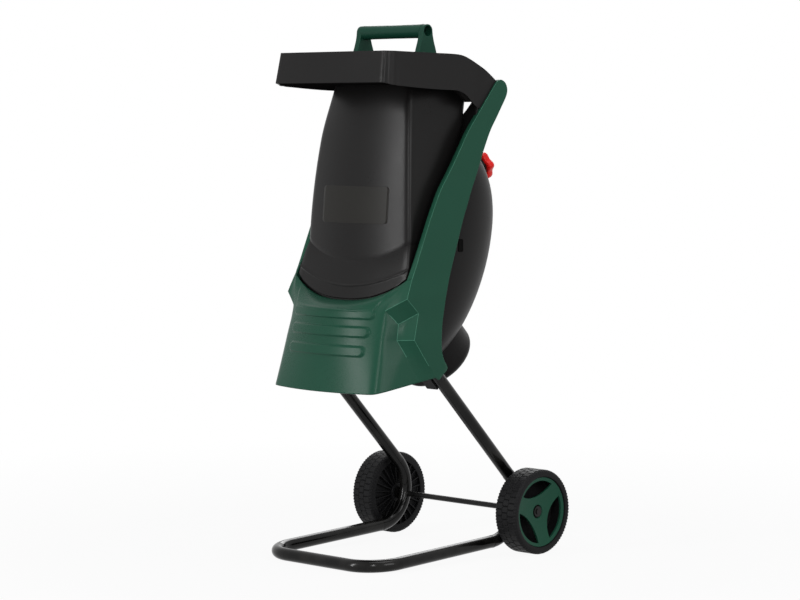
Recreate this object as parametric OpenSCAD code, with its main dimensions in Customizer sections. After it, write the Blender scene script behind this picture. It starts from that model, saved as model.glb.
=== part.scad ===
/* [Frame] */
// Outside diameter of the frame tube
tube_d = 22; // [19:0.5:23]
// Wall of the frame tube
tube_wall = 2; // [1.5:0.1:3]
// Half the distance between the two rails
rail_x = 136; // [133:0.5:136]
// Distance from the front bar to the axle
axle_reach = 359; // [350:1:370]
// Bend radius of the two front corners
front_corner_r = 60; // [50:1:90]
// Bend radius behind the axle
rear_bend_r = 67; // [62:1:70]
// Height of the rear bend's centre
rear_bend_z = 90; // [86:1:94]
// Length of the two uprights
upright_len = 318; // [312:1:322]

/* [Wheels] */
// Wheel diameter
wheel_d = 150; // [140:1:160]
// Wheel width
wheel_w = 47; // [44:1:52]
// Inner face of a wheel from the middle
wheel_x = 153; // [151:0.5:158]
// Depth of the tyre ring
tyre_depth = 15; // [12:1:18]
// Axle diameter
axle_d = 10; // [8:0.5:12]
// Number of tread grooves in each row
tread_count = 18; // [12:1:24]
// Depth of the tread grooves
tread_depth = 2; // [1:0.5:3]

/* [Drive] */
// Lean of the cutter axis from upright
rake = 44.5; // [44:0.1:45]
// Cutter disc centre, front to back
disc_y = -66; // [-68:0.5:-64]
// Cutter disc centre height
disc_z = 432; // [430:0.5:434]
// Cutter disc diameter
disc_d = 160; // [150:1:164]
// Cutter disc thickness
disc_t = 6; // [4:0.5:8]
// Cutter spindle diameter
spindle_d = 17; // [15:0.5:18]
// Gear module
gear_module = 1.5; // [1.4:0.05:1.6]
// Teeth on the cutter gear
gear_teeth = 45; // [42:1:48]
// Teeth on the motor pinion
pinion_teeth = 15; // [14:1:16]
// Face width of the gears
gear_w = 12; // [10:0.5:13]
// Motor shaft diameter
motor_shaft_d = 10; // [8:0.5:11]
// Outside diameter of the motor's stator
stator_d = 96; // [90:1:98]
// Diameter of the motor's armature
armature_d = 54; // [50:1:58]
// Outside diameter of the motor drum
drum_d = 142; // [138:1:146]

/* [Hopper] */
// Lean of the parting plane between hopper and base
lean = 14; // [13.5:0.1:14.5]
// Wall of the plastic shells
wall = 3; // [2.5:0.1:3.5]
// Height of the rim's top edge
rim_z = 882; // [878:1:890]
// Height of the rim's band at the front
rim_band = 53; // [46:1:58]
// Half width of the rim at its front corners
rim_x = 128; // [124:1:132]
// Top of the feed column
column_top = 834; // [830:1:838]
// Half width of the feed column at its foot
column_x = 120.5; // [117:0.5:121]
// How much the column narrows on each side to its top
column_taper = 24.5; // [20:0.5:28]
// Length of the paddle under the plunger's flange
paddle_len = 230; // [200:5:240]
// Diameter of the plunger's grip
grip_d = 24; // [20:0.5:26]
// Top of the plunger's grip
grip_top = 931; // [925:1:940]
// Outer face of the side arms from the middle
arm_x = 152; // [151:0.5:153]
// Depth of the arms' folded edges
arm_fold = 22; // [16:1:24]
// Bottom edge of the chute
chute_z = 303; // [296:1:310]

/* [Rear] */
// Half width of the rear shell
shell_x = 118; // [114:1:119]
// Depth of the rear shell behind the parting plane
shell_depth = 187; // [182:1:190]
// Rise of the lock screw's axis towards the back
lock_rise = 21; // [19:0.5:23]
// Diameter over the lock knob's lobes
knob_d = 50; // [44:1:54]
// Diameter of the lock screw
lock_d = 10; // [8:0.5:12]
// Hinge pin diameter
hinge_d = 10; // [8:0.5:11]
// Travel of the start and stop buttons
button_travel = 4; // [2:0.5:5]

/* [Clearances] */
// Radial clearance of running fits
run = 0.1; // [0.05:0.01:0.15]
// Gap between neighbouring mouldings
gap = 0.4; // [0.3:0.05:0.6]

/* [Hidden] */
$fn = 64;

leaf_green = "#23523f";
coal_black = "#262626";
steel_grey = "#b9bcc0";
brass = "#b08a4a";
copper = "#a8623a";
signal_red = "#d8211d";

// Frame, worked out so that the footprint is centred on the origin
axle_y = (axle_reach + tube_d / 2 - wheel_d / 2) / 2;
axle_z = wheel_d / 2;
front_y = axle_y - axle_reach;
front_z = tube_d / 2;
bend_y = axle_y - sqrt(pow(rear_bend_r, 2) - pow(axle_z - rear_bend_z, 2));
bend_reach = sqrt(pow(bend_y - front_y, 2) + pow(rear_bend_z - front_z, 2));
rail_slope = atan2(rear_bend_z - front_z, bend_y - front_y) - asin(rear_bend_r / bend_reach);
rail_len = sqrt(pow(bend_reach, 2) - pow(rear_bend_r, 2)) - front_corner_r;
// Uprights seen from the cutter: offset across and start along its axis
upright_v = (bend_y - disc_y) * cos(rake) + (rear_bend_z - disc_z) * sin(rake) + rear_bend_r;
upright_end = (disc_y - bend_y) * sin(rake) + (rear_bend_z - disc_z) * cos(rake) + upright_len;

// Gear train, along the cutter axis from the disc's middle
pressure = 25;
gear_distance = gear_module * (gear_teeth + pinion_teeth) / 2;
backlash = 0.25;
chamber_d = disc_d + 16;
floor_top = -10;
floor_t = 4;
gear_top = -28;
cover_top = -44;
cover_t = 18;
big_bearing = [40, 12];
low_bearing = [35, 10];
small_bearing = [26, 8];
core_top = -76;
core_len = 46;
stator_len = 52;
commutator_top = -128;
commutator_len = 18;
case_end = -152;
rear_bearing_top = -156;
drum_end = -180;
drum_start = -112;
throat_low = disc_t / 2 + 8;
throat_t = 4;

// Hopper hinge and the parting plane
hinge_v = -38;
hinge_w = -27;
hinge_y = disc_y + hinge_v * cos(rake) - hinge_w * sin(rake);
hinge_z = disc_z + hinge_v * sin(rake) + hinge_w * cos(rake);
parting_y = -39;
parting_z = 447;
knob_y = shell_depth + 11;
knob_z = 680;
lock_len = (knob_y - parting_y - (knob_z - parting_z) * tan(lean))
    / (cos(lock_rise) - sin(lock_rise) * tan(lean));
lock_drop = (knob_z - lock_len * sin(lock_rise) - parting_z) / cos(lean);
lock_start = 4.5;
handle_y = -22;
handle_x = 81;
handle_plate = 11;
paddle_bottom = column_top - paddle_len;
paddle_w = 140;
paddle_t = 24;
switch_u = 160;
inlet_u = 74;

// Places of the fasteners, along the parting plane and along the uprights
shell_screw_u = [90, 236];
tube_screw_w = [upright_end - 18, upright_end - 58];

// Side view of an arm as [front to back, height]
arm_front = [[80, 833], [36, 783.5], [2, 743], [-32, 692], [-65, 646.5], [-95, 588], [-113, 550],
    [-128, 514.5], [-146, 465.5]];
arm_foot = [[-120.5, 440.5], [-129, 396], [-80, 326], [-68, 321], [-46.5, 341], [-59.5, 365.5]];
arm_rear = [[-62, 392], [-60, 422], [-50, 472], [-32.5, 527], [-8.5, 594.5], [11, 640], [32, 685.5],
    [62, 748], [79, 772], [96.5, 798], [106, 815]];
arm_tip = [[105, 827], [92, 835.5]];

// Frames that the pieces are drawn in
module drive() {
    translate([0, disc_y, disc_z]) rotate([rake, 0, 0]) children();
}
module motor_line() {
    drive() translate([0, gear_distance, 0]) children();
}
module parting() {
    translate([0, parting_y, parting_z]) rotate([-lean, 0, 0]) children();
}
module lock_line() {
    translate([0, knob_y, knob_z]) rotate([lock_rise - 90, 0, 0]) children();
}
module both_sides() {
    children();
    mirror([1, 0, 0]) children();
}
module along_x(x) {
    translate([x, 0, 0]) rotate([0, 90, 0]) children();
}
module side_plate(x, t) {
    translate([x, 0, 0]) rotate([90, 0, 90]) linear_extrude(t) children();
}

// Solid between an outer and an inner grid of points, rows going up
module skin(outer, inner, ring) {
    rows = len(outer);
    cols = len(outer[0]);
    half = rows * cols;
    steps = ring ? cols : cols - 1;
    last = rows - 1;
    end = cols - 1;
    function o(i, j) = i * cols + j % cols;
    function n(i, j) = half + o(i, j);
    walls = [for (i = [0:rows - 2], j = [0:steps - 1]) each [
        [o(i, j), o(i + 1, j), o(i + 1, j + 1)], [o(i, j), o(i + 1, j + 1), o(i, j + 1)],
        [n(i, j), n(i + 1, j + 1), n(i + 1, j)], [n(i, j), n(i, j + 1), n(i + 1, j + 1)]]];
    rims = [for (j = [0:steps - 1]) each [
        [o(0, j), o(0, j + 1), n(0, j + 1)], [o(0, j), n(0, j + 1), n(0, j)],
        [o(last, j + 1), o(last, j), n(last, j)], [o(last, j + 1), n(last, j), n(last, j + 1)]]];
    edges = ring ? [] : [for (i = [0:rows - 2]) each [
        [o(i + 1, 0), o(i, 0), n(i, 0)], [o(i + 1, 0), n(i, 0), n(i + 1, 0)],
        [o(i, end), o(i + 1, end), n(i + 1, end)], [o(i, end), n(i + 1, end), n(i, end)]]];
    polyhedron([for (row = concat(outer, inner)) each row], concat(walls, rims, edges));
}

// Bowl between two grids of arches, open along the arches' feet
module bowl(outer, inner) {
    rows = len(outer);
    cols = len(outer[0]);
    half = rows * cols;
    last = rows - 1;
    end = cols - 1;
    function o(i, j) = i * cols + j;
    function n(i, j) = half + o(i, j);
    walls = [for (i = [0:rows - 2], j = [0:cols - 2]) each [
        [o(i, j), o(i + 1, j), o(i + 1, j + 1)], [o(i, j), o(i + 1, j + 1), o(i, j + 1)],
        [n(i, j), n(i + 1, j + 1), n(i + 1, j)], [n(i, j), n(i, j + 1), n(i + 1, j + 1)]]];
    edges = [for (i = [0:rows - 2]) each [
        [o(i + 1, 0), o(i, 0), n(i, 0)], [o(i + 1, 0), n(i, 0), n(i + 1, 0)],
        [o(i, end), o(i + 1, end), n(i + 1, end)], [o(i, end), n(i + 1, end), n(i, end)]]];
    caps = [[for (j = [0:end]) o(0, j)], [for (j = [end:-1:0]) n(0, j)],
        [for (j = [end:-1:0]) o(last, j)], [for (j = [0:end]) n(last, j)],
        [o(0, 0), o(0, end), n(0, end), n(0, 0)],
        [o(last, end), o(last, 0), n(last, 0), n(last, end)]];
    polyhedron([for (row = concat(outer, inner)) each row], concat(walls, edges, caps));
}

// Closed outline with a bowed front and round rear corners
function outline(xf, yf, bow, xr, yr, rc) = concat(
    [for (i = [-4:4]) [xf * i / 4, yf - bow * (1 - i * i / 16)]],
    [for (t = [1 / 3, 2 / 3]) [xf + (xr - xf) * t, yf + (yr - rc - yf) * t]],
    [for (a = [0, 45, 90]) [xr - rc + rc * cos(a), yr - rc + rc * sin(a)]],
    [for (a = [90, 135, 180]) [rc - xr + rc * cos(a), yr - rc + rc * sin(a)]],
    [for (t = [2 / 3, 1 / 3]) [-xf - (xr - xf) * t, yf + (yr - rc - yf) * t]]);

function parting_at(z) = parting_y + (z - parting_z) * tan(lean);
function cutter_floor(y) = disc_z + (throat_low + throat_t + 0.3 + (y - disc_y) * sin(rake)) / cos(rake);

// Pieces of the frame
module tube_section() {
    difference() {
        circle(d = tube_d);
        circle(d = tube_d - 2 * tube_wall);
    }
}
// Low weld bead that joins a tube end to the bend after it
weld_gap = 0.5;
module weld_bead() {
    translate([0, 0, -2]) linear_extrude(4) difference() {
        circle(d = tube_d + 0.6);
        circle(d = tube_d - 2 * tube_wall - 0.6);
    }
}
module frame_tube() {
    bar = rail_x - front_corner_r;
    color(coal_black) difference() {
        union() {
            translate([0, front_y, front_z]) rotate([rail_slope, 0, 0]) {
                along_x(-bar) linear_extrude(2 * bar) tube_section();
                both_sides() {
                    translate([bar, front_corner_r, 0]) rotate([0, 0, -90])
                        rotate_extrude(angle = 90) translate([front_corner_r, 0]) tube_section();
                    translate([rail_x, front_corner_r, 0]) rotate([-90, 0, 0]) {
                        linear_extrude(rail_len - weld_gap) tube_section();
                        translate([0, 0, rail_len]) weld_bead();
                    }
                }
            }
            both_sides() translate([rail_x, bend_y, rear_bend_z]) {
                rotate([90, 0, 90]) rotate([0, 0, rail_slope - 90])
                    rotate_extrude(angle = rake + 90 - rail_slope)
                    translate([rear_bend_r, 0]) tube_section();
                rotate([rake, 0, 0]) translate([0, rear_bend_r, 0]) {
                    translate([0, 0, weld_gap]) linear_extrude(upright_len - weld_gap) tube_section();
                    weld_bead();
                }
            }
        }
        translate([0, axle_y, axle_z]) along_x(-wheel_x)
            cylinder(d = axle_d + 2 * run, h = 2 * wheel_x);
        both_sides() drive() for (w = tube_screw_w) translate([0, upright_v, w])
            along_x(rail_x - tube_d) cylinder(d = 6 + 2 * run, h = 2 * tube_d);
    }
}
hub_end = 31;
module axle() {
    reach = wheel_x + hub_end + 7;
    color(steel_grey) translate([0, axle_y, axle_z]) along_x(-reach) cylinder(d = axle_d, h = 2 * reach);
}
module axle_washers() {
    start = rail_x + tube_d / 2 + gap;
    color(steel_grey) both_sides() translate([0, axle_y, axle_z]) along_x(start) difference() {
        cylinder(d = axle_d + 12, h = wheel_x - gap - start);
        translate([0, 0, -1]) cylinder(d = axle_d + 2 * run, h = wheel_x);
    }
}
module axle_caps() {
    color(steel_grey) both_sides() translate([0, axle_y, axle_z]) along_x(wheel_x + hub_end + gap)
        difference() {
            cylinder(d = axle_d + 9, h = 5);
            translate([0, 0, -1]) cylinder(d = axle_d + 0.02, h = 7);
        }
}

// Wheels
module wheel() {
    r = wheel_d / 2;
    rim = r - tyre_depth;
    web = 8;
    color(coal_black) translate([0, axle_y, axle_z]) along_x(wheel_x) difference() {
        union() {
            rotate_extrude() polygon([
                [axle_d / 2 + run, 0], [17, 0], [17, web], [rim, web], [rim, 0], [r - 3, 0], [r, 4],
                [r, wheel_w - 4], [r - 3, wheel_w], [rim, wheel_w], [rim, web + 5], [17, web + 5],
                [17, hub_end], [axle_d / 2 + run, hub_end]]);
            for (a = [0:30:330]) rotate(a) translate([16, -1.5, 1]) cube([rim - 15, 3, web]);
        }
        for (row = [0, 1], a = [0:tread_count - 1])
            rotate((a + row / 2) * 360 / tread_count)
                translate([r - tread_depth, -2.5, row == 0 ? -1 : wheel_w / 2 + 2])
                cube([tread_depth + 1, 5, wheel_w / 2 - 1]);
    }
}
module wheel_right() {
    wheel();
}
module wheel_left() {
    mirror([1, 0, 0]) wheel();
}
module hub_cover() {
    r = wheel_d / 2 - tyre_depth - gap;
    face = wheel_w - 4;
    window = r - 7;
    lens_r = window * 0.84;
    lens_at = window * 1.26;
    color(leaf_green) translate([0, axle_y, axle_z]) along_x(wheel_x) difference() {
        rotate_extrude() polygon([[0, face - 4], [r - 5, face - 4], [r - 5, face - 14], [r, face - 14],
            [r, face + 2], [r - 5, face + 2], [r - 8, face], [15, face], [12, face + 2], [0, face + 2]]);
        for (a = [95, 215, 335]) rotate([0, 0, a]) translate([0, 0, face - 6]) intersection() {
            cylinder(r = window, h = 12);
            translate([lens_at, 0, 0]) cylinder(r = lens_r, h = 12);
        }
    }
}
module hub_cover_right() {
    hub_cover();
}
module hub_cover_left() {
    mirror([1, 0, 0]) hub_cover();
}

// Base: chamber dish, gear case, side lugs and the front wall behind the hopper
lug_x = rail_x - 3;
lug_in = 108;
lug_half = 14;
bridge_in = 60;
module lugs() {
    low = tube_screw_w[1] - lug_half;
    front = upright_v - lug_half;
    drive() both_sides() {
        translate([lug_in, front, low]) cube([lug_x - lug_in, 2 * lug_half, floor_top - low]);
        translate([bridge_in, front, hinge_w - 11])
            cube([lug_x - bridge_in, hinge_v + lug_half - front, floor_top + 11 - hinge_w]);
    }
}
shell_mid = 130;
shell_up = 186;
shell_down = 258;
function shell_half(u) = let (t = (u - shell_mid) / (u > shell_mid ? shell_up : shell_down))
    shell_x * pow(1 - pow(t, 4), 0.25);
module front_wall() {
    rows = [66, 110, 150, 190, 220, 245, 265, 280];
    inset = wall + 5;
    parting() rotate([90, 0, 0]) translate([0, 0, -wall - gap]) linear_extrude(wall) difference() {
        polygon(concat([for (u = rows) [shell_half(u) - inset, u]],
            [for (i = [len(rows) - 1:-1:0]) [inset - shell_half(rows[i]), rows[i]]]));
        translate([0, lock_drop]) circle(d = 58);
    }
}
module base_housing() {
    r = chamber_d / 2 + wall;
    case_r = gear_module * (gear_teeth + 2) / 2 + 4;
    small_r = gear_module * (pinion_teeth + 2) / 2 + 4;
    color(coal_black) difference() {
        union() {
            drive() {
                translate([0, 0, floor_top - floor_t]) cylinder(r = r, h = floor_t);
                translate([0, 0, floor_top - floor_t]) difference() {
                    cylinder(r = r, h = 22);
                    translate([0, 0, -1]) cylinder(d = chamber_d, h = 30);
                    translate([-r, -r, floor_t]) cube([2 * r, r - 46, 40]);
                }
                translate([0, 0, 8]) intersection() {
                    cylinder(r = r, h = 4);
                    translate([-r, 60, 0]) cube([2 * r, r, 4]);
                }
                translate([0, 0, cover_top]) {
                    cylinder(r = case_r + 4, h = floor_top - cover_top - 1);
                    translate([0, gear_distance, 0]) cylinder(r = small_r + 4, h = floor_top - cover_top - 1);
                }
            }
            lugs();
            front_wall();
            parting() translate([-70, gap, 56]) cube([140, 26, 14]);
            for (s = [-1, 1], u = shell_screw_u) parting()
                translate([s * (shell_half(u + 8) - wall - 11) - 8, gap, u - 8]) cube([16, 20, 16]);
        }
        drive() {
            translate([0, 0, cover_top - 1]) {
                cylinder(r = case_r, h = gear_top + 1 - cover_top);
                translate([0, gear_distance, 0]) cylinder(r = small_r, h = gear_top + 2 - cover_top);
            }
            translate([0, 0, gear_top - 1]) cylinder(d = big_bearing[0] + 0.04, h = big_bearing[1] + 2);
            translate([0, 0, gear_top]) cylinder(d = spindle_d + 6, h = 40);
            both_sides() {
                translate([rail_x, upright_v, -200]) cylinder(d = tube_d + 2 * gap, h = 300);
                for (w = tube_screw_w) translate([0, upright_v, w])
                    along_x(70) cylinder(d = 6 + 2 * run, h = 80);
                translate([0, hinge_v, hinge_w]) along_x(70) cylinder(d = hinge_d + 0.02, h = 80);
            }
            for (a = [45:90:315]) rotate(a) translate([case_r + 1, 0, cover_top - 1]) cylinder(d = 3, h = 14);
        }
        parting() both_sides() for (u = shell_screw_u) translate([0, 12, u])
            along_x(shell_x - 20) cylinder(d = 4 + 2 * run, h = 30);
    }
}
module tube_screws() {
    reach = rail_x + tube_d / 2 - gap - lug_in;
    color(steel_grey) both_sides() drive() for (w = tube_screw_w) translate([0, upright_v, w]) {
        along_x(lug_in - 0.1) cylinder(d = 6, h = reach);
        along_x(lug_in - 4.1) cylinder(d = 11, h = 4);
    }
}
module hinge_pins() {
    color(steel_grey) both_sides() translate([0, hinge_y, hinge_z]) along_x(lug_x - 35)
        cylinder(d = hinge_d, h = arm_x - wall - lug_x + 34);
}

// Rear shell: arches of squared half ellipses along the parting plane
function squared(c) = sign(c) * pow(abs(c), 0.8);
function bulge(t) = t > 0 ? sqrt(1 - pow(t, 3)) : pow(1 - pow(-t, 1.8), 0.6);
function shell_row(k, inset) = let (
        t = sin(k),
        u = shell_mid + t * (t > 0 ? shell_up - inset : shell_down - inset),
        hw = (shell_x - inset) * pow(1 - pow(abs(t), 4), 0.25),
        depth = (shell_depth - inset) * bulge(t))
    [for (a = [0:15:180]) [hw * squared(cos(a)), gap + depth * squared(sin(a)), u]];
module rear_shell() {
    steps = [-84, -72, -60, -48, -36, -24, -12, 0, 12, 24, 36, 48, 60, 72, 84];
    color(coal_black) difference() {
        union() {
            parting() bowl([for (k = steps) shell_row(k, 0)], [for (k = steps) shell_row(k, wall)]);
            lock_line() translate([0, 0, -44]) cylinder(r1 = 34, r2 = 20, h = 44);
        }
        motor_line() translate([0, 0, drum_end - 20])
            cylinder(d = drum_d + 2 * gap, h = drum_start - drum_end + 40);
        lock_line() translate([0, 0, -110]) cylinder(d = lock_d + 2 * run, h = 140);
        parting() {
            translate([-switch_w / 2 - gap, shell_depth - 30, switch_u - switch_h / 2 - gap])
                cube([switch_w + 2 * gap, 60, switch_h + 2 * gap]);
            translate([0, shell_depth - 40, inlet_u]) rotate([-90, 0, 0])
                cylinder(d = inlet_d + 2 * gap, h = 60);
            both_sides() for (u = shell_screw_u) translate([0, 12, u])
                along_x(shell_x - 20) cylinder(d = 4 + 2 * run, h = 30);
        }
    }
}
module shell_screws() {
    color(steel_grey) parting() both_sides() for (u = shell_screw_u) translate([0, 12, u]) {
        along_x(shell_x - 14) cylinder(d = 4, h = 14.3);
        along_x(shell_x + 0.3) cylinder(d = 8, h = 2);
    }
}

// Gear cover, motor case and drum
module gear_cover() {
    case_r = gear_module * (gear_teeth + 2) / 2 + 4;
    small_r = gear_module * (pinion_teeth + 2) / 2 + 4;
    low = cover_top - cover_t;
    color("#8d9094") drive() difference() {
        translate([0, 0, low]) union() {
            cylinder(r = case_r + 4, h = cover_t);
            translate([0, gear_distance, 0]) cylinder(d = stator_d + 8, h = cover_t);
        }
        translate([0, 0, low + 4]) cylinder(d = low_bearing[0] + 0.04, h = cover_t);
        translate([0, 0, cover_top - 2]) cylinder(r = case_r, h = 4);
        translate([0, gear_distance, low + 4]) cylinder(d = small_bearing[0] + 0.04, h = cover_t);
        translate([0, gear_distance, low - 1]) cylinder(d = motor_shaft_d + 5, h = cover_t);
        for (a = [45:90:315]) rotate(a) translate([case_r + 1, 0, low - 1])
            cylinder(d = 3.3, h = cover_t + 2);
    }
}
module gear_cover_screws() {
    case_r = gear_module * (gear_teeth + 2) / 2 + 4;
    low = cover_top - cover_t;
    color(steel_grey) drive() for (a = [135, 225, 315, 45]) rotate(a) translate([case_r + 1, 0, low - 2.5]) {
        cylinder(d = 2.9, h = cover_t + 12);
        cylinder(d = 6, h = 2.4);
    }
}
module motor_case() {
    top = cover_top - cover_t - gap;
    outer = stator_d / 2 + 4;
    color("#3a3a3a") motor_line() difference() {
        union() {
            translate([0, 0, case_end]) cylinder(r = outer, h = top - case_end);
            translate([0, 0, rear_bearing_top - 12]) cylinder(d = small_bearing[0] + 12, h = 16);
        }
        translate([0, 0, case_end + 4]) cylinder(d = stator_d + 0.04, h = top - case_end);
        translate([0, 0, rear_bearing_top - small_bearing[1]])
            cylinder(d = small_bearing[0] + 0.04, h = small_bearing[1] + 20);
        for (a = [20, 70, 110, 160, 200, 250, 290, 340]) rotate(a) translate([26, -4, case_end - 1])
            cube([14, 8, 8]);
    }
}
module motor_cap() {
    r = drum_d / 2;
    edge = 16;
    color(coal_black) motor_line() difference() {
        rotate_extrude() union() {
            translate([0, drum_end]) square([r - edge, wall]);
            translate([r - edge, drum_end + edge]) intersection() {
                difference() {
                    circle(r = edge);
                    circle(r = edge - wall);
                }
                translate([0, -edge]) square(edge);
            }
            translate([r - wall, drum_end + edge]) square([wall, drum_start - drum_end - edge]);
        }
        for (s = [-3:3]) translate([-34, s * 11 - 2, drum_end - 1]) cube([68, 4, 8]);
    }
}
module stator() {
    color("#7b7d80") motor_line() translate([0, 0, core_top - core_len / 2 - stator_len / 2]) difference() {
        cylinder(d = stator_d, h = stator_len);
        translate([0, 0, -1]) cylinder(d = armature_d + 2, h = stator_len + 2);
        for (s = [0, 180]) rotate(s) translate([armature_d / 2 - 4, -20, -1]) cube([15, 40, stator_len + 2]);
    }
}
module field_coils() {
    color(copper) motor_line() for (s = [0, 180]) rotate(s)
        translate([armature_d / 2 + 2.5, -19, core_top - core_len / 2 - stator_len / 2 - 0.5])
        cube([8.2, 38, stator_len + 1]);
}
module brush_holders() {
    r = commutator_d / 2 + gap;
    color(brass) motor_line() for (s = [90, 270]) rotate(s)
        translate([r, -5, commutator_top - commutator_len + 3])
        cube([stator_d / 2 - r - 0.4, 10, commutator_len - 6]);
}
commutator_d = 32;
module bearing(d, bore, w) {
    difference() {
        cylinder(d = d, h = w);
        translate([0, 0, -1]) cylinder(d = bore + 0.02, h = w + 2);
        for (z = [-1, w - 1]) translate([0, 0, z]) difference() {
            cylinder(d = bore + (d - bore) * 0.7, h = 2);
            translate([0, 0, -1]) cylinder(d = bore + (d - bore) * 0.3, h = 4);
        }
    }
}
module spindle_bearings() {
    color(steel_grey) drive() {
        translate([0, 0, gear_top + 0.5]) bearing(big_bearing[0], spindle_d, big_bearing[1]);
        translate([0, 0, cover_top - cover_t + 4]) bearing(low_bearing[0], spindle_d, low_bearing[1]);
    }
}
module armature_bearings() {
    color(steel_grey) motor_line() {
        translate([0, 0, cover_top - cover_t + 4]) bearing(small_bearing[0], motor_shaft_d, small_bearing[1]);
        translate([0, 0, rear_bearing_top - small_bearing[1]])
            bearing(small_bearing[0], motor_shaft_d, small_bearing[1]);
    }
}

// Switch and mains inlet in the back of the shell
switch_w = 62;
switch_h = 44;
button_d = 20;
inlet_d = 44;
module button_place(x) {
    parting() translate([x, shell_depth + gap, switch_u]) rotate([-90, 0, 0]) children();
}
module switch_box() {
    color("#1d1d1d") difference() {
        union() {
            parting() translate([-switch_w / 2, shell_depth - 34, switch_u - switch_h / 2])
                cube([switch_w, 34 + gap, switch_h]);
            parting() translate([-switch_w / 2 - 4, shell_depth + gap, switch_u - switch_h / 2 - 4])
                cube([switch_w + 8, 5, switch_h + 8]);
        }
        for (x = [-15, 15]) button_place(x) translate([0, 0, -14]) cylinder(d = button_d + 2 * gap, h = 30);
    }
}
module push_button() {
    translate([0, 0, button_travel - 13.5]) cylinder(d = button_d, h = 21 - button_travel / 2);
}
module start_button() {
    color("#2f9a4c") button_place(-15) push_button();
}
module stop_button() {
    color(signal_red) button_place(15) push_button();
}
module mains_inlet() {
    color("#1d1d1d") parting() translate([0, shell_depth - 36, inlet_u]) rotate([-90, 0, 0]) {
        difference() {
            cylinder(d = inlet_d, h = 40);
            translate([0, 0, 14]) cylinder(d = inlet_d - 8, h = 40);
        }
        for (x = [-8, 8]) translate([x, 0, 14]) cylinder(d = 5, h = 18);
    }
}

// Cutter
module spindle() {
    low = cover_top - cover_t + 4;
    color(steel_grey) drive() {
        translate([0, 0, low]) cylinder(d = spindle_d, h = disc_t / 2 - low);
        translate([0, 0, -disc_t / 2 - 5]) cylinder(d = 44, h = 5);
        translate([0, 0, disc_t / 2]) cylinder(d = spindle_d - 5, h = 6);
    }
}
module blade_disc() {
    color("#6d7074") drive() translate([0, 0, -disc_t / 2]) difference() {
        cylinder(d = disc_d, h = disc_t);
        translate([0, 0, -1]) cylinder(d = spindle_d + 0.02, h = disc_t + 2);
        for (s = [0, 180]) rotate(s) {
            translate([26, -17, -1]) cube([disc_d / 2 - 32, 6, disc_t + 2]);
            for (x = blade_holes) translate([x, 0, -1]) cylinder(d = 5 + 2 * run, h = disc_t + 2);
        }
    }
}
blade_holes = [38, 60];
blade_t = 4;
module blades() {
    color(steel_grey) drive() for (s = [0, 180]) rotate(s) translate([0, 0, disc_t / 2]) difference() {
        rotate([90, 0, 90]) translate([0, 0, 27]) linear_extrude(disc_d / 2 - 33)
            polygon([[-14, blade_t], [-11, 0], [14, 0], [14, blade_t]]);
        for (x = blade_holes) translate([x, 0, -1]) cylinder(d = 5 + 2 * run, h = blade_t + 2);
    }
}
module blade_screws() {
    color("#4b4d50") drive() for (s = [0, 180], x = blade_holes) rotate(s)
        translate([x, 0, -disc_t / 2 - 4]) {
        cylinder(d = 5, h = disc_t + blade_t + 4);
        cylinder(d = 9, h = 4);
    }
}
module cutter_nut() {
    color(steel_grey) drive() translate([0, 0, disc_t / 2 + 0.02]) difference() {
        cylinder(d = 21, h = 6, $fn = 6);
        translate([0, 0, -1]) cylinder(d = spindle_d - 5 + 0.02, h = 10);
    }
}

// Spur gear outline: involute flanks thinned by the backlash
function involute(base_r, r) = sqrt(pow(r / base_r, 2) - 1) * 180 / PI - acos(base_r / r);
function gear_points(teeth) = let (
        pitch_r = gear_module * teeth / 2,
        base_r = pitch_r * cos(pressure),
        root_r = pitch_r - 1.25 * gear_module,
        tip_r = pitch_r + 0.95 * gear_module,
        start_r = max(base_r, root_r + 0.1),
        half = 90 / teeth - (backlash / 2 / pitch_r) * 180 / PI + involute(base_r, pitch_r),
        flank = [for (k = [0:3]) let (r = start_r + (tip_r - start_r) * k / 3)
            [r, half - involute(base_r, r)]],
        side = concat([[root_r, flank[0][1]]], flank))
    [for (i = [0:teeth - 1], s = [-1, 1], k = [0:4])
        let (p = side[s < 0 ? k : 4 - k], a = i * 360 / teeth + s * p[1]) p[0] * [cos(a), sin(a)]];
module drive_gear() {
    color(steel_grey) drive() translate([0, 0, gear_top - gear_w + 0.5]) rotate(90) difference() {
        linear_extrude(gear_w - 1) polygon(gear_points(gear_teeth));
        translate([0, 0, -1]) cylinder(d = spindle_d + 0.02, h = gear_w + 2);
        for (a = [30:60:330]) rotate(a) translate([21, 0, -1]) cylinder(d = 10, h = gear_w + 2);
    }
}

// Armature
module pinion() {
    mesh = 270 + 180 / pinion_teeth;
    color(steel_grey) motor_line() translate([0, 0, gear_top - gear_w]) rotate(mesh) difference() {
        linear_extrude(gear_w) polygon(gear_points(pinion_teeth));
        translate([0, 0, -1]) cylinder(d = motor_shaft_d + 0.02, h = gear_w + 2);
    }
}
module armature_shaft() {
    low = rear_bearing_top - small_bearing[1];
    color(steel_grey) motor_line() translate([0, 0, low]) cylinder(d = motor_shaft_d, h = gear_top - low);
}
module armature_core() {
    color("#7b7d80") motor_line() translate([0, 0, core_top - core_len]) difference() {
        union() {
            cylinder(d = armature_d, h = core_len);
            translate([0, 0, -6]) cylinder(d = armature_d - 12, h = core_len + 10);
        }
        translate([0, 0, -10]) cylinder(d = motor_shaft_d + 0.02, h = core_len + 20);
        for (a = [0:30:330]) rotate(a) translate([armature_d / 2 - 5, -1.5, -1]) cube([6, 3, core_len + 2]);
    }
}
module commutator() {
    color(copper) motor_line() translate([0, 0, commutator_top - commutator_len]) difference() {
        cylinder(d = commutator_d, h = commutator_len);
        translate([0, 0, -1]) cylinder(d = motor_shaft_d + 0.02, h = commutator_len + 2);
    }
}
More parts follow.
